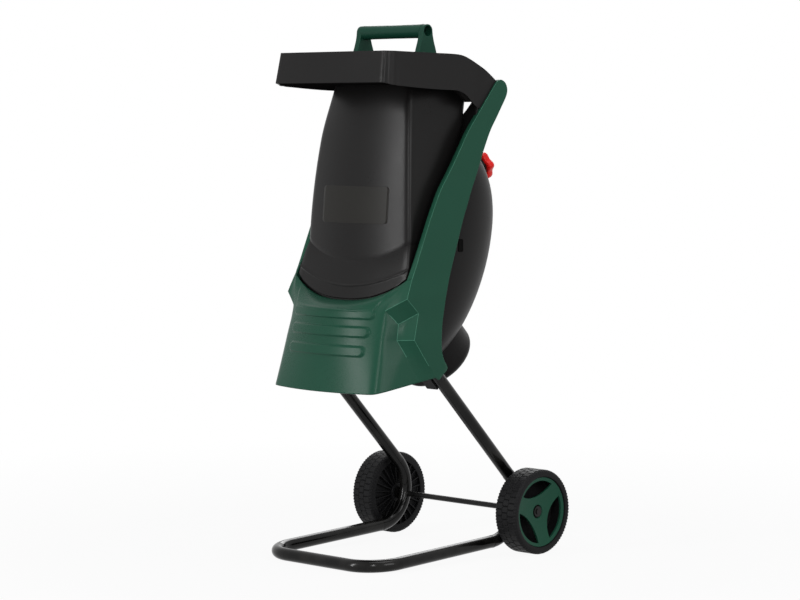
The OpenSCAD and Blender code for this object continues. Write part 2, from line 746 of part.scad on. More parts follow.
module cooling_fan() {
    top = cover_top - cover_t - 3.8;
    color("#3a3a3a") motor_line() translate([0, 0, top - 6]) difference() {
        union() {
            cylinder(d = 2 * (armature_d / 2 + 6), h = 2);
            cylinder(d = motor_shaft_d + 10, h = 6);
            for (a = [0:40:320]) rotate(a) translate([6, -1, 0]) cube([armature_d / 2 - 1, 2, 6]);
        }
        translate([0, 0, -1]) cylinder(d = motor_shaft_d + 0.02, h = 20);
    }
}

// Feed column with its wider apron at the foot
apron_top = 547;
apron_out = 3;
apron_low = 463;
column_foot = 446;
mouth_drop = 8;
column_corner = -110.5;
column_back = 26.5;
// Apron's foot as [half width, front corners, bow, rise of the corners]
apron_foot = [126.5, -124.2, 23, 36];
function column_ring(z, inset) = let (
        t = max(0, (z - 500) / 300),
        s = min(1, max(0, (apron_top - z) / (apron_top - apron_low))),
        step = z < apron_top ? apron_out : 0,
        x = column_x - column_taper * t * t,
        y = column_corner + column_back * t * t - step,
        xf = x + (apron_foot[0] - x) * s,
        yf = y + (apron_foot[1] - y) * s,
        bow = 0.155 * x + (apron_foot[2] - 0.155 * x) * s,
        xr = column_x + 1.5 - (column_taper / 2) * t * t,
        yr = parting_at(z) - gap,
        points = outline(xf - inset, yf + inset, bow, xr - inset, yr - inset, 14))
    [for (p = points) let (q = [p[0], p[1], z + s * apron_foot[3] * pow(p[0] / apron_foot[0], 2)])
        [p[0], p[1], max(q[2], cutter_floor(p[1]) + (z - column_foot) * 0.5)]];
module feed_column() {
    steps = [column_foot, apron_low, 484, 512, apron_top - 0.5, apron_top + 1, 590, 640, 690, 740, 790,
        column_top - mouth_drop, column_top];
    color("#2b2b2a") skin([for (z = steps) column_ring(z, 0)], [for (z = steps) column_ring(z, wall)], true);
}

// Feed rim: a tray round the top of the column, with cheeks down to the arms
cheek_y = -8;
cheek_x = rim_x + 10.3;
rim_front = -171;
rim_rear = 72;
function rim_top(y) = rim_z - max(0, y - cheek_y) * 0.42;
function rim_low(y) = rim_z - rim_band - (y + 180) * 0.07 - max(0, y - cheek_y) * 0.4;
function rim_ring(inset, low, lift) = let (
        drop = low ? 3.6 : 0,
        points = outline(rim_x + drop - inset, rim_front - 2 * drop + inset, 6,
            rim_x + 10 - inset, rim_rear - inset, 22))
    [for (p = points) [p[0], p[1], (low ? rim_low(p[1]) : rim_top(p[1])) + lift]];
function rim_mouth(lift) = column_ring(column_top - mouth_drop + lift, -gap);
module feed_rim() {
    color("#2b2b2a") skin([rim_mouth(0), rim_ring(0, true, 0), rim_ring(0, false, 0)],
        [rim_mouth(wall), rim_ring(wall, true, wall), rim_ring(wall, false, 0)], true);
}
module rim_cheeks() {
    color("#2b2b2a") both_sides() side_plate(cheek_x, wall) difference() {
        polygon([[20, rim_top(20) - 6], [40, 864], [70, 851], [102, 834], [88, 800], [62, 782],
            [44, 794], [20, rim_low(20) + 8]]);
        for (p = cover_screw_at) translate(p) circle(d = 4.2);
    }
}

// Front cover: chute, collar and the two side arms
function chute_row(wf, yf, bow, ys, zf, zc, zs, inset) = concat(
    [[inset - arm_x + 0.2, ys, zs], [inset - wf * 0.35 - arm_x * 0.65, (yf + ys) / 2, (zc + zs) / 2]],
    [for (i = [-4:4]) [(wf - inset) * i / 4, yf - bow * (1 - i * i / 16) + inset,
        zf + (zc - zf) * i * i / 16]],
    [[wf * 0.35 + arm_x * 0.65 - inset, (yf + ys) / 2, (zc + zs) / 2], [arm_x - 0.2 - inset, ys, zs]]);
chute_rows = [[128, -182.5, 34, -81, chute_z, chute_z + 1, 324], [123, -175, 31, -95, 352, 352, 352],
    [117, -168, 29, -118, 402, 402, 402], [112, -161, 27, -116, 440, 438, 436],
    [144, -142, 39, -122, 448, 462, 464], [133, -127.4, 23.4, -118, 458, 493, 496]];
module arm_strip(points, t) {
    polygon(concat(points, [for (i = [len(points) - 1:-1:0]) points[i] + [t, 0]]));
}
module front_cover() {
    color(leaf_green) difference() {
        union() {
            skin([for (r = chute_rows) chute_row(r[0], r[1], r[2], r[3], r[4], r[5], r[6], 0)],
                [for (r = chute_rows) chute_row(r[0], r[1], r[2], r[3], r[4], r[5], r[6], wall)], false);
            both_sides() {
                side_plate(arm_x - wall, wall) polygon(concat(arm_front, arm_foot, arm_rear, arm_tip));
                side_plate(arm_x - arm_fold, arm_fold) arm_strip([for (i = [1:8]) arm_front[i]], wall + 1);
                side_plate(arm_x - arm_fold, arm_fold) arm_strip([for (i = [1:9]) arm_rear[i]], -wall - 1);
                translate([0, hinge_y, hinge_z]) along_x(lug_x + gap)
                    cylinder(d = hinge_d + 10, h = arm_x - lug_x - wall);
                for (p = cover_screw_at) translate([0, p[0], p[1]]) along_x(cheek_x + wall + 0.2)
                    cylinder(d = 10, h = arm_x - wall - cheek_x - wall);
            }
        }
        both_sides() translate([0, hinge_y, hinge_z]) along_x(lug_x - 10)
            cylinder(d = hinge_d + 2 * run, h = arm_x - wall - lug_x + 10);
        both_sides() for (p = cover_screw_at) translate([0, p[0], p[1]]) along_x(cheek_x)
            cylinder(d = 3.9, h = arm_x - wall - cheek_x);
    }
}

// Throat above the cutter, with the fixed counter blade
throat_x = 123;
throat_v = [-30, 56];
throat_open = [[-34, 34], [-22, 34]];
module throat() {
    color("#333333") drive() difference() {
        translate([-throat_x, throat_v[0], throat_low])
            cube([2 * throat_x, throat_v[1] - throat_v[0], throat_t]);
        translate([throat_open[0][0], throat_open[1][0], throat_low - 1])
            cube([throat_open[0][1] - throat_open[0][0], throat_open[1][1] - throat_open[1][0], 10]);
    }
}
module counter_blade() {
    color(steel_grey) drive() translate([throat_open[0][0], throat_open[1][1] + 2, throat_low - 2.2])
        cube([throat_open[0][1] - throat_open[0][0], 14, 2]);
}
module lock_keeper() {
    depth = 16;
    slot = lock_d + 2 * gap;
    color("#333333") difference() {
        parting() translate([-14, -gap * cos(lean), lock_drop - 18]) cube([28, depth, 36]);
        lock_line() translate([0, 0, -lock_len - 20]) {
            cylinder(d = slot, h = 60);
            translate([-slot / 2, 0, 0]) cube([slot, 40, 60]);
        }
    }
}
cover_screw_at = [[79, 804], [92, 822]];
module cover_screws() {
    color(steel_grey) both_sides() for (p = cover_screw_at) translate([0, p[0], p[1]]) {
        along_x(cheek_x - 0.1) cylinder(d = 3.8, h = 9);
        along_x(cheek_x - 2.5) cylinder(d = 8, h = 2.4);
    }
}

// Plunger
flange_t = 4;
flange_z = column_top + gap + flange_t;
module plunger_handle() {
    bar_z = grip_top - grip_d / 2;
    color(leaf_green) difference() {
        union() {
            both_sides() side_plate(handle_x - handle_plate, handle_plate) polygon([
                [handle_y - 30, flange_z], [handle_y + 30, flange_z], [handle_y + 21.5, 884],
                [handle_y + 14.5, 903], [handle_y + 12, bar_z], [handle_y - 12, bar_z],
                [handle_y - 14.5, 903], [handle_y - 21.5, 884]]);
            translate([0, handle_y, bar_z]) along_x(-handle_x) cylinder(d = grip_d, h = 2 * handle_x);
            translate([-106, handle_y - 32, flange_z - flange_t]) cube([212, 64, flange_t + 1]);
        }
        translate([0, handle_y, bar_z]) along_x(-handle_x - 1) cylinder(d = grip_d - 6, h = 2 * handle_x + 2);
    }
}
module plunger_paddle() {
    color(coal_black) translate([0, handle_y, 0]) difference() {
        translate([-paddle_w / 2, -paddle_t / 2, paddle_bottom])
            cube([paddle_w, paddle_t, flange_z - flange_t - paddle_bottom]);
        translate([wall - paddle_w / 2, wall - paddle_t / 2, paddle_bottom - 1])
            cube([paddle_w - 2 * wall, paddle_t - 2 * wall, flange_z - 12 - paddle_bottom]);
    }
}

// Lock knob and its screw
module lock_knob() {
    lobe_r = 8;
    color(signal_red) lock_line() translate([0, 0, gap]) difference() {
        union() {
            cylinder(r = knob_d / 2 - lobe_r, h = 15);
            for (a = [30:60:330]) rotate(a) translate([knob_d / 2 - lobe_r, 0, 0])
                cylinder(r = lobe_r, h = 13);
            cylinder(r = 10, h = 18);
        }
        translate([0, 0, -1]) cylinder(d = lock_d + 0.02, h = 13);
    }
}
module lock_screw() {
    color(steel_grey) lock_line() translate([0, 0, lock_start - lock_len])
        cylinder(d = lock_d, h = lock_len - lock_start + 11);
}

frame_tube();
axle();
axle_washers();
axle_caps();
wheel_left();
wheel_right();
hub_cover_left();
hub_cover_right();
base_housing();
tube_screws();
hinge_pins();
rear_shell();
shell_screws();
gear_cover();
gear_cover_screws();
motor_case();
motor_cap();
stator();
field_coils();
brush_holders();
spindle_bearings();
armature_bearings();
switch_box();
mains_inlet();
spindle();
blade_disc();
blades();
blade_screws();
cutter_nut();
drive_gear();
armature_shaft();
armature_core();
commutator();
cooling_fan();
pinion();
feed_column();
feed_rim();
rim_cheeks();
front_cover();
throat();
counter_blade();
lock_keeper();
cover_screws();
plunger_handle();
plunger_paddle();
lock_knob();
lock_screw();
start_button();
stop_button();
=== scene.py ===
# %% [markdown]
# # Dressing a garden shredder
# The machine stands on a bent tube with two wheels. A tall black feed column carries a wide rim, a
# green front cover holds the chute and two long arms, and a black dome hides the gear and motor.
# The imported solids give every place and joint. This lesson adds smooth mouldings and finishes.

# %% Load the frame
import math

import bmesh
import bpy
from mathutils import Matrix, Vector
from mathutils.geometry import tessellate_polygon


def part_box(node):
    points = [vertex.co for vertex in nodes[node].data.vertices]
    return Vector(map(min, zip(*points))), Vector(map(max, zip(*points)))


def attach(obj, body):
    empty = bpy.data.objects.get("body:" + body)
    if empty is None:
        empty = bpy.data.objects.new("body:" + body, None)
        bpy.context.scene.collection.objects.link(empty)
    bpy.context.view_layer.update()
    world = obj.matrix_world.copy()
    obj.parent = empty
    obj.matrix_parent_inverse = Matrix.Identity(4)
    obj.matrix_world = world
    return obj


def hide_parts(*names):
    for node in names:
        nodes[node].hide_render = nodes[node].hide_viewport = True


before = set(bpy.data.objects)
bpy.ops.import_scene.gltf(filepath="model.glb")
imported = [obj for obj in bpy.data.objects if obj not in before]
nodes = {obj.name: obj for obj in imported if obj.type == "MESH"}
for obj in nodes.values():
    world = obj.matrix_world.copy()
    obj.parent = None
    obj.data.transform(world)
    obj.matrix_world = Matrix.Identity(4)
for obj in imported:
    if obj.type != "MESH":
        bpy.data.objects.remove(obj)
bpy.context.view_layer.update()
scene = bpy.context.scene
MM = 0.001

# %% [markdown]
# The photograph was taken from the front right, a little below the rim's height, from far away.
# A long lens keeps the uprights almost parallel. The place came from matching the wheels and rails.

# %% Camera
PHOTO_W = 800
FOCAL_PX = 2581.44
OFF_CENTRE_PX = (59.37, 22.43)
CAMERA_MM = (3150.5, -3284.8, 770.0)
SENSOR_MM = 36.0
camera_data = bpy.data.cameras.new("photo_camera")
camera_data.sensor_width = SENSOR_MM
camera_data.lens = FOCAL_PX / PHOTO_W * SENSOR_MM
camera_data.clip_end = 50
camera = bpy.data.objects.new("photo_camera", camera_data)
scene.collection.objects.link(camera)
back = Vector((0.6741, -0.7344, 0.0792)).normalized()
right = Vector((0.7367, 0.6763, 0.0)).normalized()
up = back.cross(right)
look = -back - right * (OFF_CENTRE_PX[0] / FOCAL_PX) + up * (OFF_CENTRE_PX[1] / FOCAL_PX)
camera.location = Vector(CAMERA_MM) * MM
camera.rotation_euler = look.to_track_quat("-Z", "Y").to_euler()
scene.camera = camera
print("lens", round(camera_data.lens, 1), "mm")

# %% [markdown]
# Shader maths reads best as plain sums. A small class wraps one socket, so that `1 - mask * 0.5`
# adds its own Math nodes. Every other node comes from one method of the finish it belongs to.

# %% Shader helpers
def linear(r, g, b):
    """Turns an 8-bit screen colour into the linear colour that a shader wants."""
    def one(c):
        c = c / 255
        return c / 12.92 if c <= 0.04045 else ((c + 0.055) / 1.055) ** 2.4
    return (one(r), one(g), one(b), 1.0)


def shade(colour, factor):
    return tuple(c * factor for c in colour[:3]) + (1.0,)


class Wire:
    """One output socket that can be used in sums."""

    def __init__(self, finish, socket):
        self.finish = finish
        self.socket = socket

    def math(self, operation, a, b):
        return self.finish.node("ShaderNodeMath", {"operation": operation}, {0: a, 1: b})

    def __add__(self, other):
        return self.math("ADD", self, other)

    def __sub__(self, other):
        return self.math("SUBTRACT", self, other)

    def __rsub__(self, other):
        return self.math("SUBTRACT", other, self)

    def __mul__(self, other):
        return self.math("MULTIPLY", self, other)

    def __truediv__(self, other):
        return self.math("DIVIDE", self, other)

    def __rtruediv__(self, other):
        return self.math("DIVIDE", other, self)

    __radd__ = __add__
    __rmul__ = __mul__


class Finish:
    """A material, or the world round it, that is built up node by node."""

    def __init__(self, name, world=None):
        self.material = world or bpy.data.materials.new(name)
        self.material.use_nodes = True
        self.tree = self.material.node_tree
        self.tree.nodes.clear()
        self.output = self.tree.nodes.new("ShaderNodeOutputWorld" if world else "ShaderNodeOutputMaterial")

    def node(self, kind, settings=None, sockets=None, out=0):
        made = self.tree.nodes.new(kind)
        for key, value in (settings or {}).items():
            setattr(made, key, value)
        for key, value in (sockets or {}).items():
            if isinstance(value, Wire):
                self.tree.links.new(value.socket, made.inputs[key])
            else:
                made.inputs[key].default_value = value
        return Wire(self, made.outputs[out])

    def place(self):
        return self.node("ShaderNodeTexCoord", out=3)

    def noise(self, scale, detail=2.0, rough=0.5, stretch=None):
        where = self.place()
        if stretch:
            where = self.node("ShaderNodeVectorMath", {"operation": "MULTIPLY"}, {0: where, 1: stretch})
        return self.node("ShaderNodeTexNoise", {},
                         {"Vector": where, "Scale": scale, "Detail": detail, "Roughness": rough})

    def rise(self, value, low, high):
        return self.node("ShaderNodeMapRange", {}, {"Value": value, "From Min": low, "From Max": high})

    def mix(self, factor, a, b):
        return self.node("ShaderNodeMix", {"data_type": "RGBA"}, {0: factor, 6: a, 7: b}, out=2)

    def bump(self, height, strength, distance):
        return self.node("ShaderNodeBump", {}, {"Height": height, "Strength": strength, "Distance": distance})

    def show(self, surface):
        self.tree.links.new(surface.socket, self.output.inputs["Surface"])
        return self.material

    def close(self, **sockets):
        sockets = {key.replace("_", " "): value for key, value in sockets.items()}
        return self.show(self.node("ShaderNodeBsdfPrincipled", {}, sockets))

# %% [markdown]
# The mouldings are polypropylene with a fine spark-eroded grain. Grain is a very small bump, with a
# second, larger noise that shifts colour and gloss a little, as handling and flow in the tool do. The
# outer flanks of the cover and the rim have a coarser grain, so they don't mirror the lamps.

# %% Mouldings
FLANK_FROM, FLANK_TO = 0.131, 0.135


def moulding(name, colour, rough, grain, cells, drift, spec, flank=0.0):
    """Grained plastic. The value flank is how much rougher it is far out from the middle."""
    f, colour = Finish(name), linear(*colour)
    fine = f.noise(cells, 3.0, 0.6)
    broad = f.noise(9.0, 4.0, 0.55)
    specks = f.noise(420.0, 2.0, 0.5)
    tone = f.mix(broad, shade(colour, 1 - drift), shade(colour, 1 + drift))
    gloss = rough + (broad - 0.5) * 0.10 + (specks - 0.5) * 0.08
    if flank:
        sideways = f.node("ShaderNodeSeparateXYZ", {}, {0: f.place()})
        out = f.node("ShaderNodeMath", {"operation": "ABSOLUTE"}, {0: sideways})
        gloss = gloss + f.rise(out, FLANK_FROM, FLANK_TO) * flank
    normal = f.bump(fine * 0.8 + specks * 0.2, grain, 0.0004)
    return f.close(Base_Color=tone, Roughness=gloss, Normal=normal, Specular_IOR_Level=spec)


PLASTICS = {
    "green_moulding": ((23, 66, 50), 0.29, 0.10, 2300.0, 0.07, 0.13, 0.22),
    # The paler green for the cover's rounded folds is a painted highlight.
    "green_painted_highlight": ((66, 116, 97), 0.42, 0.10, 2300.0, 0.10, 0.10),
    "handle_moulding": ((19, 57, 44), 0.42, 0.12, 2300.0, 0.07, 0.10),
    "hopper_moulding": ((17, 16, 16), 0.30, 0.12, 2600.0, 0.08, 0.14, 0.22),
    "housing_moulding": ((17, 16, 16), 0.40, 0.12, 2400.0, 0.08, 0.08),
    "wheel_moulding": ((21, 21, 22), 0.5, 0.16, 1800.0, 0.10, 0.09),
    # Near black for the floor of the dome's slots: painted shade of a recess.
    "slot_painted_shade": ((6, 6, 6), 0.6, 0.10, 2000.0, 0.05, 0.03),
    "tray_moulding": ((18, 17, 17), 0.6, 0.14, 2600.0, 0.08, 0.0),
    "label_film": ((34, 33, 31), 0.34, 0.03, 900.0, 0.05, 0.10),
    "switch_moulding": ((16, 16, 17), 0.4, 0.08, 3000.0, 0.05, 0.12),
    "knob_moulding": ((222, 28, 24), 0.36, 0.05, 2500.0, 0.05, 0.2),
    "start_moulding": ((42, 140, 74), 0.34, 0.04, 2500.0, 0.05, 0.2),
    "stop_moulding": ((206, 34, 30), 0.34, 0.04, 2500.0, 0.05, 0.2),
    "fan_moulding": ((50, 50, 52), 0.5, 0.10, 2000.0, 0.08, 0.2),
}
finishes = {name: moulding(name, *values) for name, values in PLASTICS.items()}
print("mouldings:", len(finishes))

# %% [markdown]
# The tube is stove enamelled: glossy black with a soft orange peel and a film of dust. Steel and brass
# show fine lines from the tool that cut them. The motor has copper windings and a core of thin sheets,
# which nobody sees until the machine is opened.

# %% Enamel and metals
def enamel(name, colour, rough):
    f, colour = Finish(name), linear(*colour)
    peel = f.noise(260.0, 2.0, 0.5)
    dust = f.noise(14.0, 5.0, 0.6)
    film = f.rise(dust, 0.45, 0.8)
    tone = f.mix(film * 0.06, colour, linear(150, 146, 140))
    return f.close(Base_Color=tone, Roughness=rough + film * 0.10, Specular_IOR_Level=0.12,
                   Coat_Weight=0.1, Coat_Roughness=0.08, Normal=f.bump(peel, 0.05, 0.0006))


def bare_metal(name, colour, rough, stretch=(1.0, 1.0, 1.0)):
    f, colour = Finish(name), linear(*colour)
    lines = f.noise(900.0, 3.0, 0.6, stretch)
    stain = f.noise(30.0, 4.0, 0.6)
    tone = f.mix(stain * 0.5 + lines * 0.3, colour, shade(colour, 0.72))
    return f.close(Base_Color=tone, Roughness=rough + (lines - 0.5) * 0.2 + (stain - 0.5) * 0.15,
                   Metallic=1.0, Normal=f.bump(lines, 0.06, 0.0003))


def winding(name):
    f = Finish(name)
    wires = f.node("ShaderNodeTexWave", {"wave_type": "BANDS", "bands_direction": "X"},
                   {"Vector": f.place(), "Scale": 420.0, "Distortion": 0.6, "Detail": 1.0}, out=1)
    varnish = f.noise(60.0, 3.0, 0.5)
    tone = f.mix(wires * 0.7 + varnish * 0.3, linear(96, 44, 22), linear(196, 118, 70))
    return f.close(Base_Color=tone, Roughness=0.28 + varnish * 0.2, Metallic=0.8,
                   Normal=f.bump(wires, 0.5, 0.0008))


def sheet_stack(name):
    f = Finish(name)
    along = f.noise(1400.0, 1.0, 0.4, (0.02, 1.0, 1.0))
    oil = f.noise(40.0, 4.0, 0.6)
    tone = f.mix(along * 0.6 + oil * 0.4, linear(84, 86, 90), linear(160, 162, 166))
    return f.close(Base_Color=tone, Roughness=0.35 + oil * 0.25, Metallic=0.9,
                   Normal=f.bump(along, 0.25, 0.0005))


ENAMELS = {"tube_enamel": ((6, 6, 6), 0.14), "axle_enamel": ((8, 8, 8), 0.3),
           "case_enamel": ((44, 44, 46), 0.4)}
METALS = {"bright_steel": ((196, 199, 202), 0.3), "tool_steel": ((138, 140, 144), 0.34, (0.1, 1.0, 1.0)),
          "cast_alloy": ((170, 172, 176), 0.48), "brass_metal": ((196, 158, 92), 0.32)}
for make, table in ((enamel, ENAMELS), (bare_metal, METALS)):
    finishes.update({name: make(name, *values) for name, values in table.items()})
finishes["copper_wire"] = winding("copper_wire")
finishes["core_sheets"] = sheet_stack("core_sheets")
print("finishes:", len(finishes))

# %% [markdown]
# The pieces that need no new shape keep their solids and only take a finish. Most of them are inside,
# and show when the plunger is out or the front unit is tilted.

# %% Finishes on the kept solids
kept = {
    "tube_enamel": ["frame_tube"],
    "axle_enamel": ["axle", "tube_screws", "axle_washers", "axle_caps", "shell_screws"],
    "bright_steel": ["gear_cover_screws", "spindle", "spindle_bearings", "armature_bearings", "cutter_nut",
                     "drive_gear", "armature_shaft", "pinion", "lock_screw"],
    "tool_steel": ["blade_disc", "blades", "blade_screws", "counter_blade"],
    "cast_alloy": ["gear_cover"],
    "case_enamel": ["motor_case"],
    "core_sheets": ["stator", "armature_core"],
    "copper_wire": ["field_coils", "commutator"],
    "brass_metal": ["brush_holders"],
    "fan_moulding": ["cooling_fan"],
    "housing_moulding": ["base_housing", "motor_cap", "plunger_paddle", "throat", "lock_keeper"],
    "switch_moulding": ["switch_box", "mains_inlet"],
    "start_moulding": ["start_button"],
    "stop_moulding": ["stop_button"],
}
for finish, names in kept.items():
    for name in names:
        for slot in nodes[name].material_slots:
            slot.material = finishes[finish]
print("solids with a finish:", sum(len(names) for names in kept.values()))

# %% [markdown]
# A moulding is a grid of points pushed into shape by a few formulas, then thickened. The helpers
# turn rows of points into a mesh, give it a wall with Solidify, and round its rims with Bevel. Sizes
# are written in millimetres and only become metres when the mesh is made.

# %% Mesh helpers
SIDES = ((1, "right"), (-1, "left"))
WALL = 2.6
RIM_ANGLE = 38


def lerp(a, b, t):
    return a + (b - a) * t


def between(p, q, t):
    """The point that lies the part t of the way from p to q."""
    return tuple(lerp(a, b, t) for a, b in zip(p, q))


def smooth(t):
    t = min(1.0, max(0.0, t))
    return t * t * (3 - 2 * t)


def curve_at(points, t):
    """A point on a smooth curve through all the given points, t from 0 to 1."""
    n = len(points) - 1
    k = min(int(t * n), n - 1)
    u = t * n - k
    p = [points[max(0, min(n, k + d))] for d in (-1, 0, 1, 2)]
    return tuple(0.5 * (2 * b + (c - a) * u + (2 * a - 5 * b + 4 * c - d) * u * u
                        + (3 * b - a - 3 * c + d) * u ** 3) for a, b, c, d in zip(*p))


def both(points):
    return [(-x, y, z) for x, y, z in points]


def grid_faces(rows, cols, ring, flip, start=0):
    faces = []
    for i in range(rows - 1):
        for j in range(cols if ring else cols - 1):
            a, b = start + i * cols + j, start + i * cols + (j + 1) % cols
            quad = (a, b, b + cols, a + cols)
            faces.append(quad[::-1] if flip else quad)
    return faces


def add_piece(name, points, faces, finish, body, slot, replaces=(), sharp=40):
    mesh = bpy.data.meshes.new(name)
    mesh.from_pydata([tuple(c * MM for c in p) for p in points], [], faces)
    mesh.update()
    mesh.materials.append(finishes[finish])
    mesh.shade_smooth()
    mesh.set_sharp_from_angle(angle=math.radians(sharp))
    piece = bpy.data.objects.new(name, mesh)
    scene.collection.objects.link(piece)
    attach(piece, body)
    if replaces:
        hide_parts(*replaces)
    return piece


def add_rows(name, rows, ring, flip, finish, body, slot, replaces=(), sharp=40):
    """A piece from rows of points. A ring closes each row, and flip turns the faces over."""
    points = [p for line in rows for p in line]
    faces = grid_faces(len(rows), len(rows[0]), ring, flip)
    return add_piece(name, points, faces, finish, body, slot, replaces, sharp)


def thicken(piece, wall, edge=0.0):
    if wall:
        solid = piece.modifiers.new("wall", "SOLIDIFY")
        solid.thickness = wall * MM
        solid.offset = -1
        solid.use_even_offset = True
    if edge:
        bevel = piece.modifiers.new("edge", "BEVEL")
        bevel.width = edge * MM
        bevel.segments = 3
        bevel.limit_method = "ANGLE"
        bevel.angle_limit = math.radians(RIM_ANGLE)
        bevel.harden_normals = True


print("walls are", WALL, "mm")

# %% [markdown]
# The feed column narrows to its top on a gentle curve. Its front is bowed between two soft vertical
# creases, and its lower edge hangs like a smile over the apron. One ring formula serves all heights.

# %% Feed column
LEAN = math.radians(14)
PART_Y, PART_Z = -39, 447
FRONT = 24
SIDE = 28
REAR_R = 14
COLUMN_TOP = 834
COLUMN_ROWS = 46
LIP_INSET = {-1: 2.4, 0: 1.3}
HOPPER = ("hopper_moulding", "hopper_unit", "hopper_black")


def parting_y(z):
    return PART_Y + (z - PART_Z) * math.tan(LEAN)


def soften(line, rounds, ring=False):
    """Rounds the corners of a line by taking the mean of each point and its neighbours."""
    n = len(line)
    for _ in range(rounds):
        ends = line[0], line[-1]
        line = [tuple((a + 2 * b + c) / 4 for a, b, c in zip(line[k - 1], line[k], line[(k + 1) % n]))
                for k in range(n)]
        if not ring:
            line[0], line[-1] = ends
    return line


def ring(xf, yf, bow, xr, yr):
    """Closed outline with a bowed front, straight sides and round rear corners."""
    front = [(xf * i / FRONT, yf - bow * (1 - (i / FRONT) ** 2)) for i in range(-FRONT, FRONT + 1)]
    rear = [between((xf, yf), (xr, yr - REAR_R), t / SIDE) for t in range(1, SIDE)]
    for a in range(9):
        w = a * math.pi / 16
        rear.append((xr - REAR_R + REAR_R * math.cos(w), yr - REAR_R + REAR_R * math.sin(w)))
    return soften(front + rear + [(-x, y) for x, y in reversed(rear)], 3, True)


def column_front(z):
    """Half width, place of the creases and bow of the column's front at one height."""
    t = (z - 500) / 300
    full = smooth((822 - z) / 90)
    xf = 120.5 - 24.5 * t * abs(t)
    return xf + 3 * full, -110.5 + 26.5 * t * abs(t) - 3.3 * full, 0.155 * xf - 2 * full


def column_ring(z, inset=0.0):
    xf, yf, bow = column_front(z)
    t = (z - 500) / 300
    return ring(xf - inset, yf + inset, bow, 123 - 12.2 * t * abs(t) - inset, parting_y(z) - 0.5 - inset)


def across(k):
    """How far a ring point is from the middle of the front, 0 to 1, and 1 all round the rest."""
    return min(1.0, abs(k - FRONT) / FRONT) if k <= 2 * FRONT else 1.0


def edge_z(k):
    return 520 + 31 * across(k) ** 2.2


RING = len(column_ring(COLUMN_TOP))
column_rows = []
for row in range(-1, COLUMN_ROWS + 1):
    line = []
    for k in range(RING):
        z = lerp(edge_z(k), COLUMN_TOP, max(row, 0) / COLUMN_ROWS) + (0.8 if row < 0 else 0)
        line.append((*column_ring(z, LIP_INSET.get(row, 0.0))[k], z))
    column_rows.append(line)
column = add_rows("feed_column_skin", column_rows, True, False, *HOPPER, ["feed_column"])
thicken(column, WALL)
print("column", len(column.data.vertices), "points")

# %% [markdown]
# The apron under the column runs out to the green collar. A thin raised bead follows its shape, and its
# foot sinks into a groove at the seam, which is what makes the dark line between black and green.

# %% Apron
APRON_ROWS = 84
APRON_REAR_Z = 484
GROOVE = 3.4
BEAD_UP, BEAD_WIDE = 1.5, 1.7


def seam_z(k):
    return 456.5 + 38.5 * across(k) ** 2.5


def bead_z(k):
    return 481 + 30 * across(k) ** 2


apron_top = [column_ring(edge_z(k) + 6, WALL)[k] for k in range(RING)]
apron_foot = ring(135.2, -131.7, 19.3, 122.4, parting_y(APRON_REAR_Z) - 0.5)
apron_rows = []
for row in range(APRON_ROWS + 1):
    v = row / APRON_ROWS
    line = []
    for k in range(RING):
        in_front = k <= 2 * FRONT
        z = lerp(edge_z(k) + 6, seam_z(k) - 9 if in_front else APRON_REAR_Z, v)
        bead = BEAD_UP * math.exp(-((z - bead_z(k)) / BEAD_WIDE) ** 2) if in_front else 0
        sink = GROOVE * smooth((seam_z(k) + 2.6 - z) / 1.2)
        x, y = between(apron_top[k], apron_foot[k], v ** 0.7)
        line.append((x * (1 - sink / 150) * (1 + bead / 300), y - bead + sink, z))
    apron_rows.append(line)
apron = add_rows("column_apron", apron_rows, True, True, *HOPPER)
thicken(apron, WALL)
print("apron", len(apron.data.vertices), "points")

# %% [markdown]
# The place for a label on the front is a smooth, slightly glossier film with round corners. It follows
# the bow of the column, so it uses the same formula, a third of a millimetre further out. It stays bare.

# %% Label place
LABEL_HALF = 79
LABEL_LOW, LABEL_HIGH = 588, 652
LABEL_CORNER = 6
LABEL_COLS = 32
LABEL_OUT = 0.35
steps = [0, 0.5, 1.4, 2.8, 4.4, LABEL_CORNER]
heights = [LABEL_LOW + s for s in steps]
heights += [lerp(LABEL_LOW + LABEL_CORNER, LABEL_HIGH - LABEL_CORNER, t / 10) for t in range(1, 10)]
heights += [LABEL_HIGH - s for s in reversed(steps)]
label_rows = []
for z in heights:
    into = max(0, LABEL_CORNER - min(z - LABEL_LOW, LABEL_HIGH - z))
    half = LABEL_HALF - LABEL_CORNER + math.sqrt(max(0, LABEL_CORNER ** 2 - into ** 2))
    xf, yf, bow = column_front(z)
    places = [half * (2 * j / LABEL_COLS - 1) for j in range(LABEL_COLS + 1)]
    label_rows.append([(x, yf - bow * (1 - (x / xf) ** 2) - LABEL_OUT, z) for x in places])
label = add_rows("label_place", label_rows, False, False, "label_film", "hopper_unit", "hopper_black")
thicken(label, 0.6)
print("label", 2 * LABEL_HALF, "mm wide")

# %% [markdown]
# The rim is a band round a shallow tray. It runs level along the front and sides, folds in an S at the
# front corners, and goes on past a faint crease as two cheeks that reach down to the arms. One strip
# of points from the end of the left cheek round to the end of the right one keeps it in one sweep.

